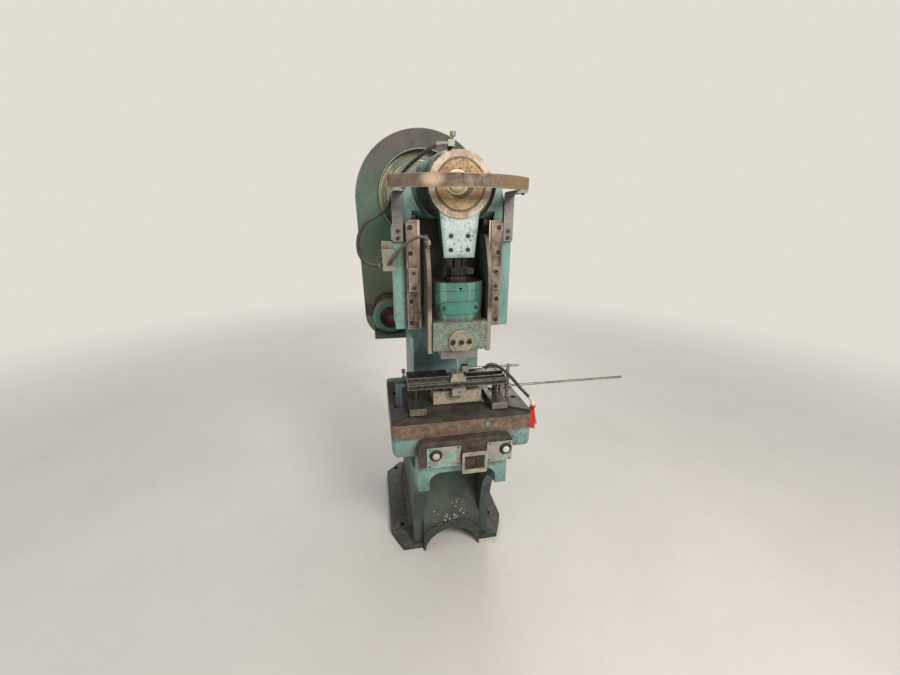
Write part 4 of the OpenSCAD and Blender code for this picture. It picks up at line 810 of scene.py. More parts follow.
FINISHES = (
    CastingEnamel("frame_enamel", "frame_casting", "#7ea69c", "#678f86", chips=0.72, specks=0.8, soil=1.15,
                  grime="#2b2720"),
    ChuteEnamel("chute_enamel", "slug_chute", "#4b6355", "#39463b", soil=0.9, specks=0.9, chips=0.4,
                gloss=0.6),
    GuardEnamel("guard_enamel", "belt_guard", "#56705c", "#47604e", soil=0.6, specks=0.25, chips=0.22,
                gloss=0.5),
    CowlEnamel("cowl_enamel", "fan_cowl", "#568f80", "#47796c", soil=0.8),
    RodEnamel("rod_enamel", "conrod", "#2f5f51", "#254a3f", soil=0.8, chips=0.35, gloss=0.34, dusty=0.1),
    RamEnamel("ram_enamel", "ram", "#458476", "#3a7164", soil=1.1, specks=0.6, chips=0.4, gloss=0.24,
              dusty=0.1),
    Enamel("cover_green", "ram_cover", "#478677", "#3b7365", soil=1.1, specks=0.4, chips=0.45, gloss=0.3,
           dusty=0.1),
    Enamel("cover_enamel", "guard_rear_cover", "#5b6459", "#4b5249", specks=0.4, chips=0.4),
    Enamel("bracket_enamel", "guard_brackets", "#4c7468", "#3f6256", soil=0.9),
    Enamel("motor_enamel", "motor_housing terminal_box", "#5f574b", "#4b453c", soil=0.9, specks=0.4,
           chips=0.45, dusty=0.6),
    Enamel("shelf_enamel", "motor_shelf", "#4d7a6d", "#41675c", soil=0.8),
    Enamel("clutch_enamel", "clutch_housing", "#4d5449", "#3d433a", soil=0.9, specks=0.3),
    Enamel("hem_enamel", "", "#93ab95", "#7d947f", soil=0.5, specks=0.3, chips=0.6),
    WheelFace("wheel_face", "flywheel"),
    GibSteel("gib_copper", "gib_left gib_right knockout_stops", "#86756a", "#50443b", bright="#c9b8a6",
             rust="#4a3529", rusting=0.27, rough=0.38, metallic=0.55, staining=1.0, edge=0.007, rub=1.1,
             pits=0.3),
    BarSteel("bar_rust", "guard_bar", "#66574c", "#463930", bright="#b9a58c", rust="#523a2c", rusting=0.32,
             rough=0.48, metallic=0.5, staining=0.8, edge=0.007, rub=1.0, pits=0.3),
    BoxSteel("box_metal", "control_box", "#a19c8f", "#756f63", bright="#d3d0c6", rust="#5f4c3b", pits=0.5,
             rough=0.5, metallic=0.35, grain=Grain.Z, edge=0.006, rub=0.9),
    SwitchSteel("switch_metal", "switch_box", "#a79f8d", "#74695a", bright="#e2dccd", rust="#54412f",
                pits=0.4, rough=0.4, metallic=0.5, edge=0.005, rub=0.9),
    EndSteel("tool_steel", "parallel_strips stop_rod cross_rod", "#5f5952", "#3d3833", bright="#bdb6a9",
             rusting=0.14, metallic=0.7, grain=Grain.X),
    BushSteel("bush_tan", "eccentric_bush", "#ab9068", "#84684a", bright="#c9ab80", rust="#5f4129",
              rusting=0.26, pits=0.8, rough=0.5, metallic=0.25, centre=CRANK_PIN, grain=Grain.TURNED,
              grime="#3a2b1f"),
    Steel("cap_steel", "pin_cap", "#b8a684", "#8c7a59", bright="#d9caa9", rust="#614830", rusting=0.16,
          pits=0.4, metallic=0.45, centre=PIN_CAP, grain=Grain.TURNED),
    Steel("bolster_steel", "bolster_plate", "#4b443d", "#332e2a", metallic=0.6, rusting=0.12,
          grain=Grain.X),
    Steel("screw_black", "bolster_bolts head_screws conrod_screws ram_screws", "#292725", "#191817",
          rough=0.4, metallic=0.75, rusting=0.1, bright="#7d766c"),
    Steel("bronze", "bearing_bushes ball_seat", "#b48d50", "#7c5a32", bright="#d9b678", rusting=0.0,
          rough=0.35, grain=Grain.TURNED),
    Steel("post_steel", "guard_posts", "#6f6c69", "#4b4845", rough=0.45, metallic=0.6, rusting=0.06,
          grain=Grain.X),
    Steel("lube_metal", "lubricator_block oil_fitting", "#84826f", "#5a5646", rust="#5f432d", rusting=0.3,
          pits=0.4, rough=0.48, metallic=0.45),
    Steel("dusty_steel", "base_block", "#a89d88", "#74695a", bright="#cdc2a9", rust="#54432f", rusting=0.28,
          pits=0.9, rough=0.72, metallic=0.2),
    Steel("dark_steel", "clamp_studs die_bed", "#34322f", "#201e1c", bright="#b5aea2", rusting=0.08,
          rough=0.34, metallic=0.8, edge=0.007, rub=1.2),
    Steel("bright_steel", "die_blocks punch", "#a8a194", "#7b7365", bright="#dcd6c8", rusting=0.05,
          pits=0.3, rough=0.36, metallic=0.65, grain=Grain.X),
    Steel("clamp_steel", "side_clamp", "#4d5668", "#333a47", bright="#99a0ab", rusting=0.1, metallic=0.6),
    Steel("forged_steel", "crankshaft motor_shaft", "#5d5852", "#3b3733", rusting=0.1, rough=0.35,
          grain=Grain.TURNED),
    Steel("drum_iron", "brake_drum motor_pulley", "#5d5f58", "#3d3d38", rough=0.45, metallic=0.7,
          grain=Grain.TURNED),
    Steel("oily_steel", "adjusting_screw lock_collar retaining_ring", "#37322e", "#211d1a",
          bright="#8d857a", rust="#3d261a", rusting=0.02, rough=0.24, metallic=0.9, staining=0.7, pits=0.05,
          grain=Grain.TURNED),
    Steel("clamp_plate", "shank_clamp", "#9a917d", "#6b6353", bright="#c4baa4", rust="#6a533b",
          rusting=0.16, pits=0.9, rough=0.5, metallic=0.35),
    Steel("holder_steel", "punch_holder", "#7f7c77", "#55524d", bright="#cfcac1", rusting=0.06, rough=0.4,
          metallic=0.6, grain=Grain.X),
    Steel("washer_steel", "", "#a8aaa0", "#6a6a60", bright="#d8d8ce", rusting=0.15, rough=0.45,
          metallic=0.3),
    Steel("slug_metal", "", "#8c8880", "#35322d", bright="#b9b5ab", rusting=0.3, rough=0.35, metallic=0.6,
          staining=1.0),
    Moulded("collar_black", "button_collars", "#1b1a19", rough=0.38),
    Moulded("palm_pink", "palm_button_left", "#b9a29a", soil="#6f564c", dusty=0.1, rough=0.35),
    Moulded("palm_white", "palm_button_right", "#c3bfb8", soil="#736a5e", dusty=0.1, rough=0.35),
    Moulded("key_green", "start_button", "#1a221e", rough=0.3, dusty=0.35),
    Moulded("key_red", "stop_button", "#46231f", rough=0.32, dusty=0.35),
    Moulded("hose_black", "", "#2b2825", rough=0.5, dusty=0.55, dust="#75695a"),
    Moulded("hose_grey", "", "#4a443d", rough=0.5, dusty=0.5, dust="#7f7465"),
    Moulded("nozzle_black", "", "#161616", rough=0.42, dusty=0.35),
    Moulded("nozzle_cream", "", "#d8ccb0", soil="#7c6c52", rough=0.45),
    Moulded("valve_red", "air_valve", "#b3241e", soil="#6a1712", soiling=0.4, dusty=0.15, rough=0.35),
    Moulded("belt_rubber", "v_belts", "#1d1b1a", rough=0.6, dusty=0.4),
)


class Finishes:
    """Every finish of the press, built once and kept by name."""

    def __init__(self) -> None:
        """Builds the finishes."""
        self.by_name = {finish.name: finish.build() for finish in FINISHES}

    def put(self, piece: bpy.types.Object, name: str) -> None:
        """Puts a finish on every slot of a piece.

        Args:
            piece: The piece.
            name: The finish's name.
        """
        slots = piece.data.materials
        if not slots:
            slots.append(None)
        for index in range(len(slots)):
            slots[index] = self.by_name[name]


# Shapes


def unit(v: np.ndarray) -> np.ndarray:
    """Rows of vectors, each divided by its length."""
    return v / np.linalg.norm(v, axis=-1, keepdims=True)


def circle(count: int) -> np.ndarray:
    """Evenly spaced points (cos a, sin a) of a circle of radius 1, one a row."""
    angle = np.linspace(0, 2 * np.pi, count, endpoint=False)
    return np.stack([np.cos(angle), np.sin(angle)], -1)


def smooth_path(points: tuple[Point, ...], steps: int) -> np.ndarray:
    """A Catmull-Rom curve through points.

    Each stretch from b to c, between neighbours a and d, is
    (2b + (c - a)t + (2a - 5b + 4c - d)t^2 + (3b - a - 3c + d)t^3) / 2 for t from 0 to 1.

    Args:
        points: Points in metres.
        steps: Points made from each stretch.

    Returns:
        The curve's points, one a row.
    """
    p = np.array(points, float)
    padded = np.vstack([p[:1], p, p[-1:]])
    a, b, c, d = (padded[i:len(p) - 1 + i, None, :] for i in range(4))
    t = (np.arange(steps) / steps)[None, :, None]
    curve = (2 * b + (c - a) * t + (2 * a - 5 * b + 4 * c - d) * t**2 + (3 * b - a - 3 * c + d) * t**3) / 2
    return np.vstack([curve.reshape(-1, 3), p[-1:]])


def carried(path: np.ndarray, radius: float | np.ndarray, sides: int, reference: Point) -> np.ndarray:
    """Circles carried along a path.

    Ring i is path[i] + r (cos a u + sin a v), where u and v are square to the path's direction and u is
    square to the reference as well.

    Args:
        path: Points, n by 3.
        radius: One radius, or one for each point.
        sides: Points on a circle.
        reference: A direction that the path never runs along.

    Returns:
        Rings as n by sides by 3.
    """
    heading = unit(np.gradient(path, axis=0))
    across = unit(np.cross(heading, np.array(reference, float)))
    turn = circle(sides)
    rings = turn[:, :1] * across[:, None] + turn[:, 1:] * np.cross(heading, across)[:, None]
    return path[:, None] + np.broadcast_to(radius, len(path))[:, None, None] * rings


def turned(profile: list[Pair], centre: Point, axis: Point, sides: int) -> np.ndarray:
    """A profile turned round an axis.

    Point (r, h) goes to centre + h axis + r (cos a u + sin a v), with u and v square to the axis.

    Args:
        profile: Pairs of radius and place along the axis, from one end to the other.
        centre: Where the place is 0.
        axis: Direction of the axis.
        sides: Points on a circle.

    Returns:
        Rings as n by sides by 3.
    """
    along = unit(np.array(axis, float))
    helper = np.array([0.0, 0.0, 1.0]) if abs(along[2]) < 0.9 else np.array([1.0, 0.0, 0.0])
    u = unit(np.cross(along, helper))
    turn = circle(sides)
    ring = turn[:, :1] * u + turn[:, 1:] * np.cross(along, u)
    r, h = np.array(profile, float).T
    return np.array(centre, float) + h[:, None, None] * along + r[:, None, None] * ring


def beaded(line: np.ndarray, out: np.ndarray, y: float, radius: float, sides: int) -> np.ndarray:
    """A round bead carried round a closed line that lies across the Y axis.

    Ring i is p + r (cos a o + sin a y), with p on the line, o the direction out of it and y the axis.

    Args:
        line: The line's points as X and Z.
        out: Directions out of the line as X and Z, of any length.
        y: The line's place along Y.
        radius: The bead's radius.
        sides: Points on a ring.

    Returns:
        Rings as n by sides by 3.
    """
    turn = circle(sides)
    away = np.insert(unit(out), 1, 0.0, axis=1)[:, None]
    ring = turn[:, :1] * away + turn[:, 1:] * (0.0, 1.0, 0.0)
    return np.insert(line, 1, y, axis=1)[:, None] + radius * ring


def coved(start: Point, end: Point, side_a: Point, side_b: Point, radius: float) -> np.ndarray:
    """A hollow fillet in the corner between two faces.

    Its section is the corner c, sunk a little, and the arc c + r (a + b) - r (cos t a + sin t b) for t from 0
    to 90 degrees, carried from start to end.

    Args:
        start: One end of the corner's line.
        end: The other end.
        side_a: Unit vector along one face, square to the line.
        side_b: Unit vector along the other face.
        radius: The arc's radius.

    Returns:
        Two rings of the section's points.
    """
    sink = 0.0006
    a, b = np.array(side_a, float), np.array(side_b, float)
    t = np.linspace(0, np.pi / 2, 9)[:, None]
    arc = radius * (a + b) - radius * (np.cos(t) * a + np.sin(t) * b)
    arc = np.vstack([-sink * (a + b), arc[:1] - sink * a, arc, arc[-1:] - sink * b])
    return np.array([start, end], float)[:, None] + arc


def screw_head(radius: float, height: float) -> list[Pair]:
    """A socket head's profile: socket floor, socket wall, top, chamfer and side."""
    shape = [(0.0, 0.5), (0.48, 0.5), (0.5, 1.0), (0.86, 1.0), (1.0, 0.86), (1.0, 0.0), (0.0, 0.0)]
    return [(radius * r, height * h) for r, h in shape]


# Sub-assemblies


@dataclass
class Assembly:
    """A sub-assembly: its sizes are its fields, and its methods make and dress its pieces."""

    finishes: Finishes

    def make(self, name: str, shells: list[np.ndarray], body: str, finish: str,
             closed: bool = False) -> bpy.types.Object:
        """Makes one piece of several shells, each of them rings joined by quads.

        Quad i, k joins points k and k + 1 of rings i and i + 1. The first and last ring close with a face of
        their own, unless the last ring joins the first.

        Args:
            name: The piece's name.
            shells: Rings as n by m by 3, one array for each shell.
            body: The body that it rides on, or an empty string.
            finish: Its finish's name.
            closed: Whether the last ring joins the first.

        Returns:
            The piece.
        """
        points, faces, first = [], [], 0
        for rings in shells:
            n, m, _ = rings.shape
            i, k = np.indices((n if closed else n - 1, m)).reshape(2, -1)
            j, k2 = (i + 1) % n, (k + 1) % m
            faces += (np.stack([i * m + k, i * m + k2, j * m + k2, j * m + k], -1) + first).tolist()
            if not closed:
                ring = np.arange(m) + first
                faces += [ring[::-1].tolist(), (ring + (n - 1) * m).tolist()]
            points.append(rings.reshape(-1, 3))
            first += n * m
        mesh = bpy.data.meshes.new(name)
        mesh.from_pydata(np.vstack(points).tolist(), [], faces)
        build = bmesh.new()
        build.from_mesh(mesh)
        bmesh.ops.remove_doubles(build, verts=build.verts, dist=1e-6)
        bmesh.ops.recalc_face_normals(build, faces=build.faces)
        build.to_mesh(mesh)
        build.free()
        mesh.polygons.foreach_set("use_smooth", np.full(len(mesh.polygons), True))
        mesh.set_sharp_from_angle(angle=CREASE)
        made = bpy.data.objects.new(name, mesh)
        bpy.context.scene.collection.objects.link(made)
        if body:
            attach(made, body)
        self.finishes.put(made, finish)
        log.info("%s: %d faces", name, len(mesh.polygons))
        return made


@dataclass
class Hoses(Assembly):
    """The three hoses: grease line to the crank pin, line to the ram, and the jointed blow hose."""

    lube: tuple[Point, ...] = (
        (-0.050, -0.046, 1.847), (-0.085, -0.044, 1.843), (-0.123, -0.036, 1.822), (-0.159, 0.002, 1.796),
        (-0.186, 0.056, 1.774), (-0.214, 0.098, 1.733), (-0.238, 0.104, 1.680), (-0.262, 0.084, 1.632),
        (-0.304, 0.056, 1.606), (-0.346, 0.050, 1.577), (-0.372, 0.050, 1.528), (-0.373, 0.050, 1.472),
        (-0.350, 0.050, 1.436), (-0.318, 0.050, 1.424), (-0.300, 0.050, 1.424), (-0.2864, 0.050, 1.424))
    ram: tuple[Point, ...] = (
        (-0.256, 0.0196, 1.438), (-0.256, 0.010, 1.438), (-0.256, -0.001, 1.442), (-0.246, -0.012, 1.458),
        (-0.222, -0.022, 1.490), (-0.190, -0.028, 1.517), (-0.158, -0.030, 1.532), (-0.132, -0.030, 1.532),
        (-0.118, -0.030, 1.520), (-0.115, -0.030, 1.504))
    blow: tuple[Point, ...] = (
        (0.302, -0.120, 0.8565), (0.302, -0.120, 0.863), (0.301, -0.117, 0.870), (0.295, -0.101, 0.881),
        (0.284, -0.074, 0.892), (0.264, -0.057, 0.914), (0.240, -0.046, 0.943), (0.212, -0.038, 0.973),
        (0.180, -0.033, 1.000), (0.150, -0.030, 1.014), (0.129, -0.028, 1.010), (0.119, -0.028, 0.996))
    lube_r: float = 0.0065
    ram_r: float = 0.006
    blow_r: float = 0.007
    lube_lean: Point = (0.3, 0.9, 0.2)
    ram_lean: Point = (0.1, 1.0, 0.1)
    blow_lean: Point = (0.35, 0.9, 0.1)

    def sleeve(self, name: str, path: np.ndarray, radius: float, reference: Point,
               body: str) -> bpy.types.Object:
        """A crimped metal sleeve on a hose's end, as wider circles carried along its first points.

        Args:
            name: The piece's name.
            path: The hose's line, from the end that gets the sleeve.
            radius: The hose's radius.
            reference: A direction that the path never runs along.
            body: The body that it rides on.

        Returns:
            The sleeve.
        """
        crimps = np.array([0.05, 0.28, 0.36, 0.20, 0.36, 0.34, 0.20, 0.36, 0.30, 0.05]) * 0.004
        shell = carried(path[:len(crimps)], radius + crimps, 20, reference)
        made = self.make(name, [shell], body, "lube_metal")
        return made

    def grease_line(self) -> None:
        """The grease line: one tube of even thickness from the crank pin's fitting to the lubricator.

        It stays where it is made, at the lubricator; the sleeve on its upper end rides on the rod.
        """
        path = smooth_path(self.lube, 8)
        hose = self.make("grease_line", [carried(path, self.lube_r, 16, self.lube_lean)], "", "hose_black")
        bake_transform(hose)
        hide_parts("lube_hose")
        sleeves = [self.sleeve("grease_sleeve_top", path, self.lube_r, self.lube_lean, "rod"),
                   self.sleeve("grease_sleeve_low", path[::-1], self.lube_r, self.lube_lean, "root")]

    def ram_line(self) -> None:
        """The line to the ram: it stays at the lubricator, and the sleeve at its other end rides on the slide.
        """
        path = smooth_path(self.ram, 8)
        hose = self.make("ram_line", [carried(path, self.ram_r, 16, self.ram_lean)], "", "hose_grey")
        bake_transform(hose)
        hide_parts("ram_hose")
        end = self.sleeve("ram_line_sleeve", path[::-1], self.ram_r, self.ram_lean, "slide")

    def blow_line(self) -> None:
        """The jointed blow hose: its radius follows the root of |cos|, link by link; its low end is plain."""
        path = smooth_path(self.blow, 12)
        steps = np.linspace(0, 1, len(path))
        links = 0.9 + 0.1 * np.abs(np.cos(steps * np.pi * 24)) ** 0.5
        chain = carried(path, self.blow_r * links, 18, self.blow_lean)
        hose = self.make("blow_line", [chain], "root", "nozzle_black")
        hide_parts("blow_hose")
        sheath = carried(path[2:38], self.blow_r + 0.0006, 18, self.blow_lean)
        tail = self.make("blow_line_tail", [sheath], "root", "nozzle_cream")

    def build(self) -> None:
        """Makes the three hoses."""
        self.grease_line()
        self.ram_line()
        self.blow_line()


@dataclass
class Casting(Assembly):
    """The C-frame's small things: cast fillets, slugs on the chute and oilers on the guides."""

    column: float = 0.156
    wall: float = 0.188
    inside: float = 0.141
    cheek: float = 0.205
    cheek_back: float = 0.260
    bed_low: float = 0.700
    bed_top: float = 0.837
    flange_top: float = 0.028
    ledge_r: float = 0.18135
    ledge_z: float = -0.01937
    chute: tuple[Pair, Pair, Pair] = ((0.204, 0.700), (0.184, 0.330), (0.062, 0.162))
    oiler: Point = (0.160, 0.060, 1.593)
    seed: int = 7
    ledge_slugs: int = 40
    chute_slugs: int = 26

    def fillets(self) -> None:
        """Hollow fillets where the casting's walls meet."""
        down, up, rear = (0, 0, -1), (0, 0, 1), (0, 1, 0)
        shells = []
        for s in (-1, 1):
            out, inward = (s, 0, 0), (-s, 0, 0)
            column, wall, inside, cheek = (s * x for x in (self.column, self.wall, self.inside, self.cheek))
            shells += [
                coved((wall, -0.148, self.bed_low), (wall, 0.318, self.bed_low), out, down, 0.020),
                coved((column, 0.240, self.bed_top), (column, 0.319, self.bed_top), out, up, 0.016),
                coved((column, 0.320, 0.705), (column, 0.320, 0.836), out, rear, 0.030),
                coved((wall, 0.200, self.flange_top), (wall, 0.655, self.flange_top), out, up, 0.022),
                coved((inside, -0.121, self.bed_low), (inside, 0.200, self.bed_low), inward, down, 0.018),
                coved((cheek, self.cheek_back, 1.18), (cheek, self.cheek_back, 1.55), out, rear, 0.016)]
        made = self.make("cast_fillets", shells, "root", "frame_enamel")

    def slugs(self) -> None:
        """Punched slugs on the ledge over the arch and stuck to the chute.

        On the ledge each stands at angle a on the circle (R sin a, R cos a); on the chute it lies at
        (1 - t)^2 p + 2 t (1 - t) q + t^2 r, turned to the curve's normal.
        """
        rng = np.random.default_rng(self.seed)
        profile = [(0.0, 0.0), (0.0036, 0.0), (0.0040, 0.0005), (0.0040, 0.0024), (0.0, 0.0024)]
        shells = []
        for angle in np.radians(rng.uniform(-40, 40, self.ledge_slugs)):
            lift = np.array([math.sin(angle), 0.0, math.cos(angle)])
            at = np.array([0, rng.uniform(0.0575, 0.0585), self.ledge_z]) + lift * self.ledge_r
            shells.append(turned(profile, at, lift, 12))
        small = [(r * 0.8, h * 0.8) for r, h in profile]
        p, q, r = np.array(self.chute)
        falls = 1 - 0.22 * rng.uniform(0, 1, self.chute_slugs) ** 1.6
        for t, x in zip(falls, rng.normal(0.02, 0.05, self.chute_slugs).clip(-0.12, 0.12)):
            y, z = (1 - t) ** 2 * p + 2 * t * (1 - t) * q + t**2 * r
            run = unit(2 * (1 - t) * (q - p) + 2 * t * (r - q))
            normal = np.array([0.0, run[1], -run[0]])
            shells.append(turned(small, np.array([x, y, z]) - normal * 0.0004, normal, 12))
        made = self.make("slug_scatter", shells, "root", "slug_metal")

    def oilers(self) -> None:
        """A small ball oiler on each gib's top end."""
        profile = [(0.0, 0.0), (0.0045, 0.0), (0.0045, 0.004), (0.0028, 0.006), (0.0028, 0.010),
                   (0.004, 0.012), (0.004, 0.015), (0.002, 0.0175), (0.0, 0.018)]
        x, y, z = self.oiler
        shells = [turned(profile, (s * x, y, z), (0, 0, 1), 16) for s in (-1, 1)]
        self.make("gib_oilers", shells, "root", "lube_metal")

    def build(self) -> None:
        """Makes the casting's small things."""
        self.fillets()
        self.slugs()
        self.oilers()


@dataclass
class Drive(Assembly):
    """The belt guard's rolled hems and the screws of its rear cover."""

    guard: Pair = (0.0, 1.706)
    guard_r: float = 0.405
    lobe: Pair = (-0.232, 0.990)
    lobe_r: float = 0.150
    guard_front: float = 1.050
    cover_back: float = 1.2505
    opening: float = 0.265
    lip_bead: float = 0.0035
    edge_bead: float = 0.0020
    screws: int = 24
    screw: Pair = (0.007, 0.0035)

    def outline(self, inset: float, count: int = 240) -> np.ndarray:
        """The guard's teardrop: the hull of two circles, by the further point of the two each way.

        The points are then spaced evenly by the length run along it.

        Args:
            inset: How much smaller than the guard.
            count: Points on the line.

        Returns:
            Points as X and Z.
        """
        way = circle(720)
        big = np.array(self.guard) + (self.guard_r - inset) * way
        small = np.array(self.lobe) + (self.lobe_r - inset) * way
        further = (small * way).sum(1) > (big * way).sum(1)
        line = np.where(further[:, None], small, big)
        line = np.vstack([line, line[:1]])
        run = np.concatenate([[0.0], np.linalg.norm(np.diff(line, axis=0), axis=1).cumsum()])
        even = np.linspace(0, run[-1], count, endpoint=False)
        return np.stack([np.interp(even, run, line[:, 0]), np.interp(even, run, line[:, 1])], -1)

    def hems(self) -> None:
        """Rolled hems on the opening's lip and on the guard's front edge."""
        way, edge = circle(120), self.outline(0.0022)
        lip = np.array(SHAFT) + (self.opening - 0.002) * way
        shells = [beaded(lip, way, self.guard_front - 0.020, self.lip_bead, 12),
                  beaded(edge, edge - self.guard, self.guard_front + 0.0004, self.edge_bead, 12)]
        hem = self.make("guard_hem", shells, "root", "hem_enamel", closed=True)

    def build(self) -> None:
        """Makes the hems, and the screws in a line inside the guard's outline."""
        self.hems()
        head, line = screw_head(*self.screw), self.outline(0.022, self.screws)
        shells = [turned(head, (x, self.cover_back, z), (0, 1, 0), 16) for x, z in line]
        self.make("cover_screws", shells, "root", "screw_black")


@dataclass
class Rod(Assembly):
    """The connecting rod's washers, one under each screw of its front."""

    front: float = -0.028
    screws_x: Pair = (-0.033, 0.033)
    screws_z: Pair = (1.485, 1.536)

    def build(self) -> None:
        """A low bevelled ring round each counterbore."""
        ring = [(0.0092, -0.0004), (0.0092, 0.0008), (0.0100, 0.0012), (0.0124, 0.0010), (0.0130, -0.0004)]
        places = [(x, self.front, z) for x in self.screws_x for z in self.screws_z]
        shells = [turned(ring, p, (0, -1, 0), 32) for p in places]
        made = self.make("rod_washers", shells, "rod", "washer_steel", closed=True)


@dataclass
class Controls(Assembly):
    """The two-hand control box: panel screws, the keys' frames and the palm buttons' flanges."""

    front: float = -0.205
    key_front: float = -0.2192
    key_half: Pair = (0.0178, 0.0128)
    keys_x: Pair = (0.010, 0.052)
    keys_z: float = 0.686
    palms_x: Pair = (-0.122, 0.160)
    palms_z: float = 0.721
    panels_x: tuple[float, ...] = (-0.147, -0.034, 0.094, 0.178)
    panels_z: Pair = (0.674, 0.748)
    screw: Pair = (0.0036, 0.0016)
    bead: float = 0.0014

    def panel_screws(self) -> None:
        """Small screws in the panels' corners."""
        places = [(x, self.front, z) for x in self.panels_x for z in self.panels_z]
        shells = [turned(screw_head(*self.screw), p, (0, -1, 0), 14) for p in places]
        self.make("panel_screws", shells, "root", "screw_black")

    def frames(self) -> None:
        """A raised bead round each key, carried round a rounded rectangle.

        The line is c + (a sgn(cos t)|cos t|^0.22, b sgn(sin t)|sin t|^0.22), with half sides a and b.
        """
        turn, half = circle(64), np.array(self.key_half)
        shape = np.sign(turn) * np.abs(turn) ** 0.22 * half
        shells = [beaded(shape + (x, self.keys_z), shape / half**2, self.key_front, self.bead, 10)
                  for x in self.keys_x]
        self.make("key_frames", shells, "root", "post_steel", closed=True)

    def flanges(self) -> None:
        """The palm buttons' wide black flanges, each a low ring with a rounded brim."""
        brim = [(0.0191, -0.001), (0.0191, 0.004), (0.021, 0.0055), (0.0235, 0.005), (0.0252, 0.0028),
                (0.0256, -0.001)]
        shells = [turned(brim, (x, self.front, self.palms_z), (0, -1, 0), 40) for x in self.palms_x]
        self.make("palm_flanges", shells, "root", "collar_black", closed=True)

    def build(self) -> None:
        """Makes the small parts."""
        self.panel_screws()
        self.frames()
        self.flanges()


@dataclass
class Press(Assembly):
    """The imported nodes."""

    def build(self) -> None:
        """Dresses each node in the finish that names it."""
        for finish in FINISHES:
            for name in finish.nodes.split():
                self.finishes.put(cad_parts[name], finish.name)
                log.info("%s: %s", name, finish.name)


# Studio


def stood(name: str, data: bpy.types.ID, place: Point, axes: list[np.ndarray]) -> bpy.types.Object:
    """Makes the object of a camera or a lamp.

    Args:
        name: Its name.
        data: The camera or the lamp.
        place: Where it stands.
        axes: Unit vectors along its own X, Y and Z.

    Returns:
        The object.
    """
    made = bpy.data.objects.new(name, data)
    bpy.context.scene.collection.objects.link(made)
    basis = np.eye(4)
    basis[:3] = np.column_stack([*axes, place])
    made.matrix_world = Matrix(basis.tolist())
    return made


@dataclass(frozen=True)
class Lamp:
    """A soft square lamp: where it hangs, what it faces, its side in metres, its watts and its tint."""

    name: str
    place: Point
    aim: Point
    side: float
    power: float
    tint: str

    def hang(self) -> None:
        """Makes the lamp."""
        data = bpy.data.lights.new(self.name, "AREA")
        data.shape, data.size = "SQUARE", self.side
        data.energy, data.color = self.power, linear(self.tint)[:3]
        back = unit(np.array(self.place) - np.array(self.aim))
        right = unit(np.cross([0.0, 0.0, 1.0], back))
        stood(self.name, data, self.place, [right, np.cross(back, right), back])


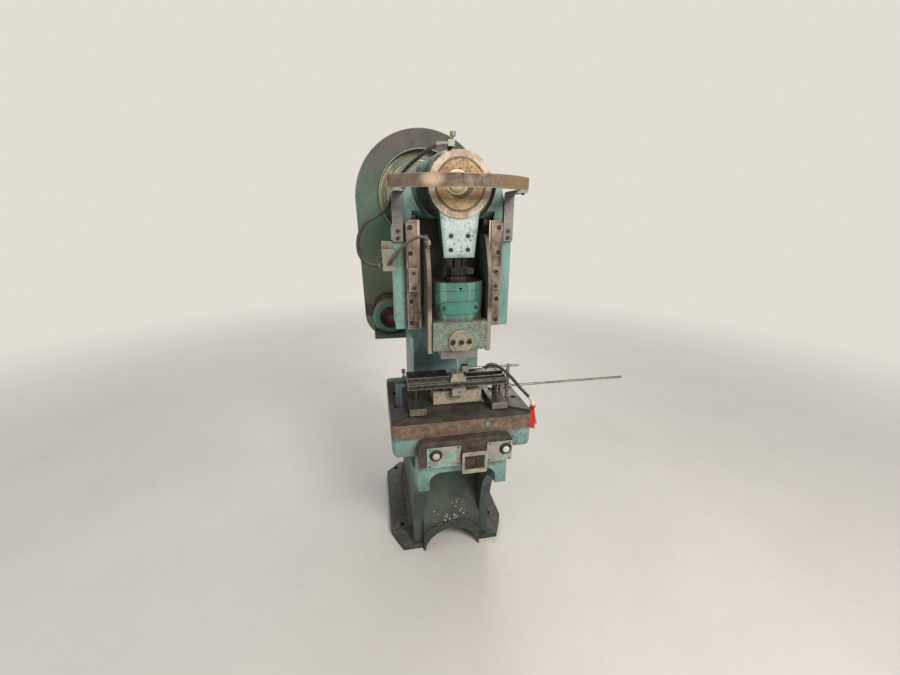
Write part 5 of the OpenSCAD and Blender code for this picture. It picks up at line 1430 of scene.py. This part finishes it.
@dataclass
class Studio:
    """Camera, lamps, pale floor and background."""

    lens: float = 15.6
    sensor: float = 36.0
    place: Point = (-0.328, -1.50, 1.60)
    pitch: float = 17.0
    yaw: float = 11.3
    roll: float = 0.36
    floor_r: float = 7.0
    floor_z: float = -0.0012
    lamps: tuple[Lamp, ...] = (
        Lamp("key_lamp", (1.2, -3.1, 3.2), (0.0, 0.1, 1.1), 1.3, 150, "#fffaf3"),
        Lamp("fill_lamp", (-3.2, -1.0, 2.4), (0.0, 0.3, 1.0), 2.4, 22, "#eef4ff"),
        Lamp("back_lamp", (0.6, 3.8, 3.2), (0.0, 0.6, 1.2), 2.2, 80, "#ffffff"))

    def camera(self) -> None:
        """The camera at the photograph's place and angle: turned right, pitched down and rolled a little."""
        data = bpy.data.cameras.new("camera")
        data.lens, data.sensor_width, data.clip_start = self.lens, self.sensor, 0.05
        pitch, yaw, roll = (math.radians(a) for a in (self.pitch, self.yaw, self.roll))
        level = np.array([math.sin(yaw), math.cos(yaw), 0.0])
        forward = level * math.cos(pitch) - (0.0, 0.0, math.sin(pitch))
        right = unit(np.cross(forward, [0.0, 0.0, 1.0]))
        side = math.cos(roll) * right + math.sin(roll) * np.cross(right, forward)
        axes = [side, np.cross(side, forward), -forward]
        bpy.context.scene.camera = stood("camera", data, self.place, axes)

    def floor(self) -> None:
        """A round pale floor that fades into the background at its rim."""
        centre = np.array([0.0, 0.4, self.floor_z])
        rim = centre + self.floor_r * np.insert(circle(96), 2, 0.0, axis=1)
        mesh = bpy.data.meshes.new("floor")
        mesh.from_pydata(rim.tolist(), [], [list(range(96))])
        made = bpy.data.objects.new("floor", mesh)
        bpy.context.scene.collection.objects.link(made)
        b = Surface("pale_floor")
        mid, fine = b.noise(1.6, 6, 0.62), b.noise(24, 5, 0.65)
        b.colour = b.over(mid.tones(0.34, 0.70, "#dad5cc", "#d5d0c7"),
                          (fine.ramp(0.52, 0.8) * 0.2, "#b9b3a8"))
        b.rough, b.relief = 0.75, fine
        mesh.materials.append(b.finish(0.0004))
        gone = b.length(b.at((1, 1, 0), (0, -0.4, 0))).ramp(1.4, 6.6)
        clear = b.node("ShaderNodeBsdfTransparent", {}, {})
        blend = b.node("ShaderNodeMixShader", {}, {0: gone, 1: b.shader.outputs[0], 2: clear.outputs[0]})
        b.feed(b.out.inputs[0], blend.outputs[0])

    def world(self) -> None:
        """A pale background for the camera and in gloss and glass, and an even soft light on the rest."""
        world = bpy.data.worlds.new("studio")
        bpy.context.scene.world = world
        b = Board(world)
        rays = b.node("ShaderNodeLightPath", {}, {}).outputs
        seen = Value(b, rays["Is Camera Ray"]).most(Value(b, rays["Is Glossy Ray"]))
        shown = seen.most(Value(b, rays["Is Transmission Ray"]))
        light = b.node("ShaderNodeBackground", {}, {0: "#f2f4f6", 1: 0.36}).outputs[0]
        view = b.node("ShaderNodeBackground", {}, {0: "#e2ddd3", 1: 1.0}).outputs[0]
        mixed = b.node("ShaderNodeMixShader", {}, {0: shown, 1: light, 2: view})
        b.node("ShaderNodeOutputWorld", {}, {0: mixed.outputs[0]})

    def build(self) -> None:
        """Sets the studio up."""
        for lamp in self.lamps:
            lamp.hang()
        self.floor()
        self.world()
        bpy.context.scene.view_settings.view_transform = "Standard"


def main() -> None:
    """Sets up the camera, then builds each sub-assembly in turn and the studio round them."""
    logging.basicConfig(level=logging.INFO, format="%(name)s: %(message)s")
    studio = Studio()
    studio.camera()
    finishes = Finishes()
    for assembly in (Hoses, Press, Casting, Drive, Rod, Controls):
        assembly(finishes).build()
    studio.build()


if __name__ == "__main__":
    main()
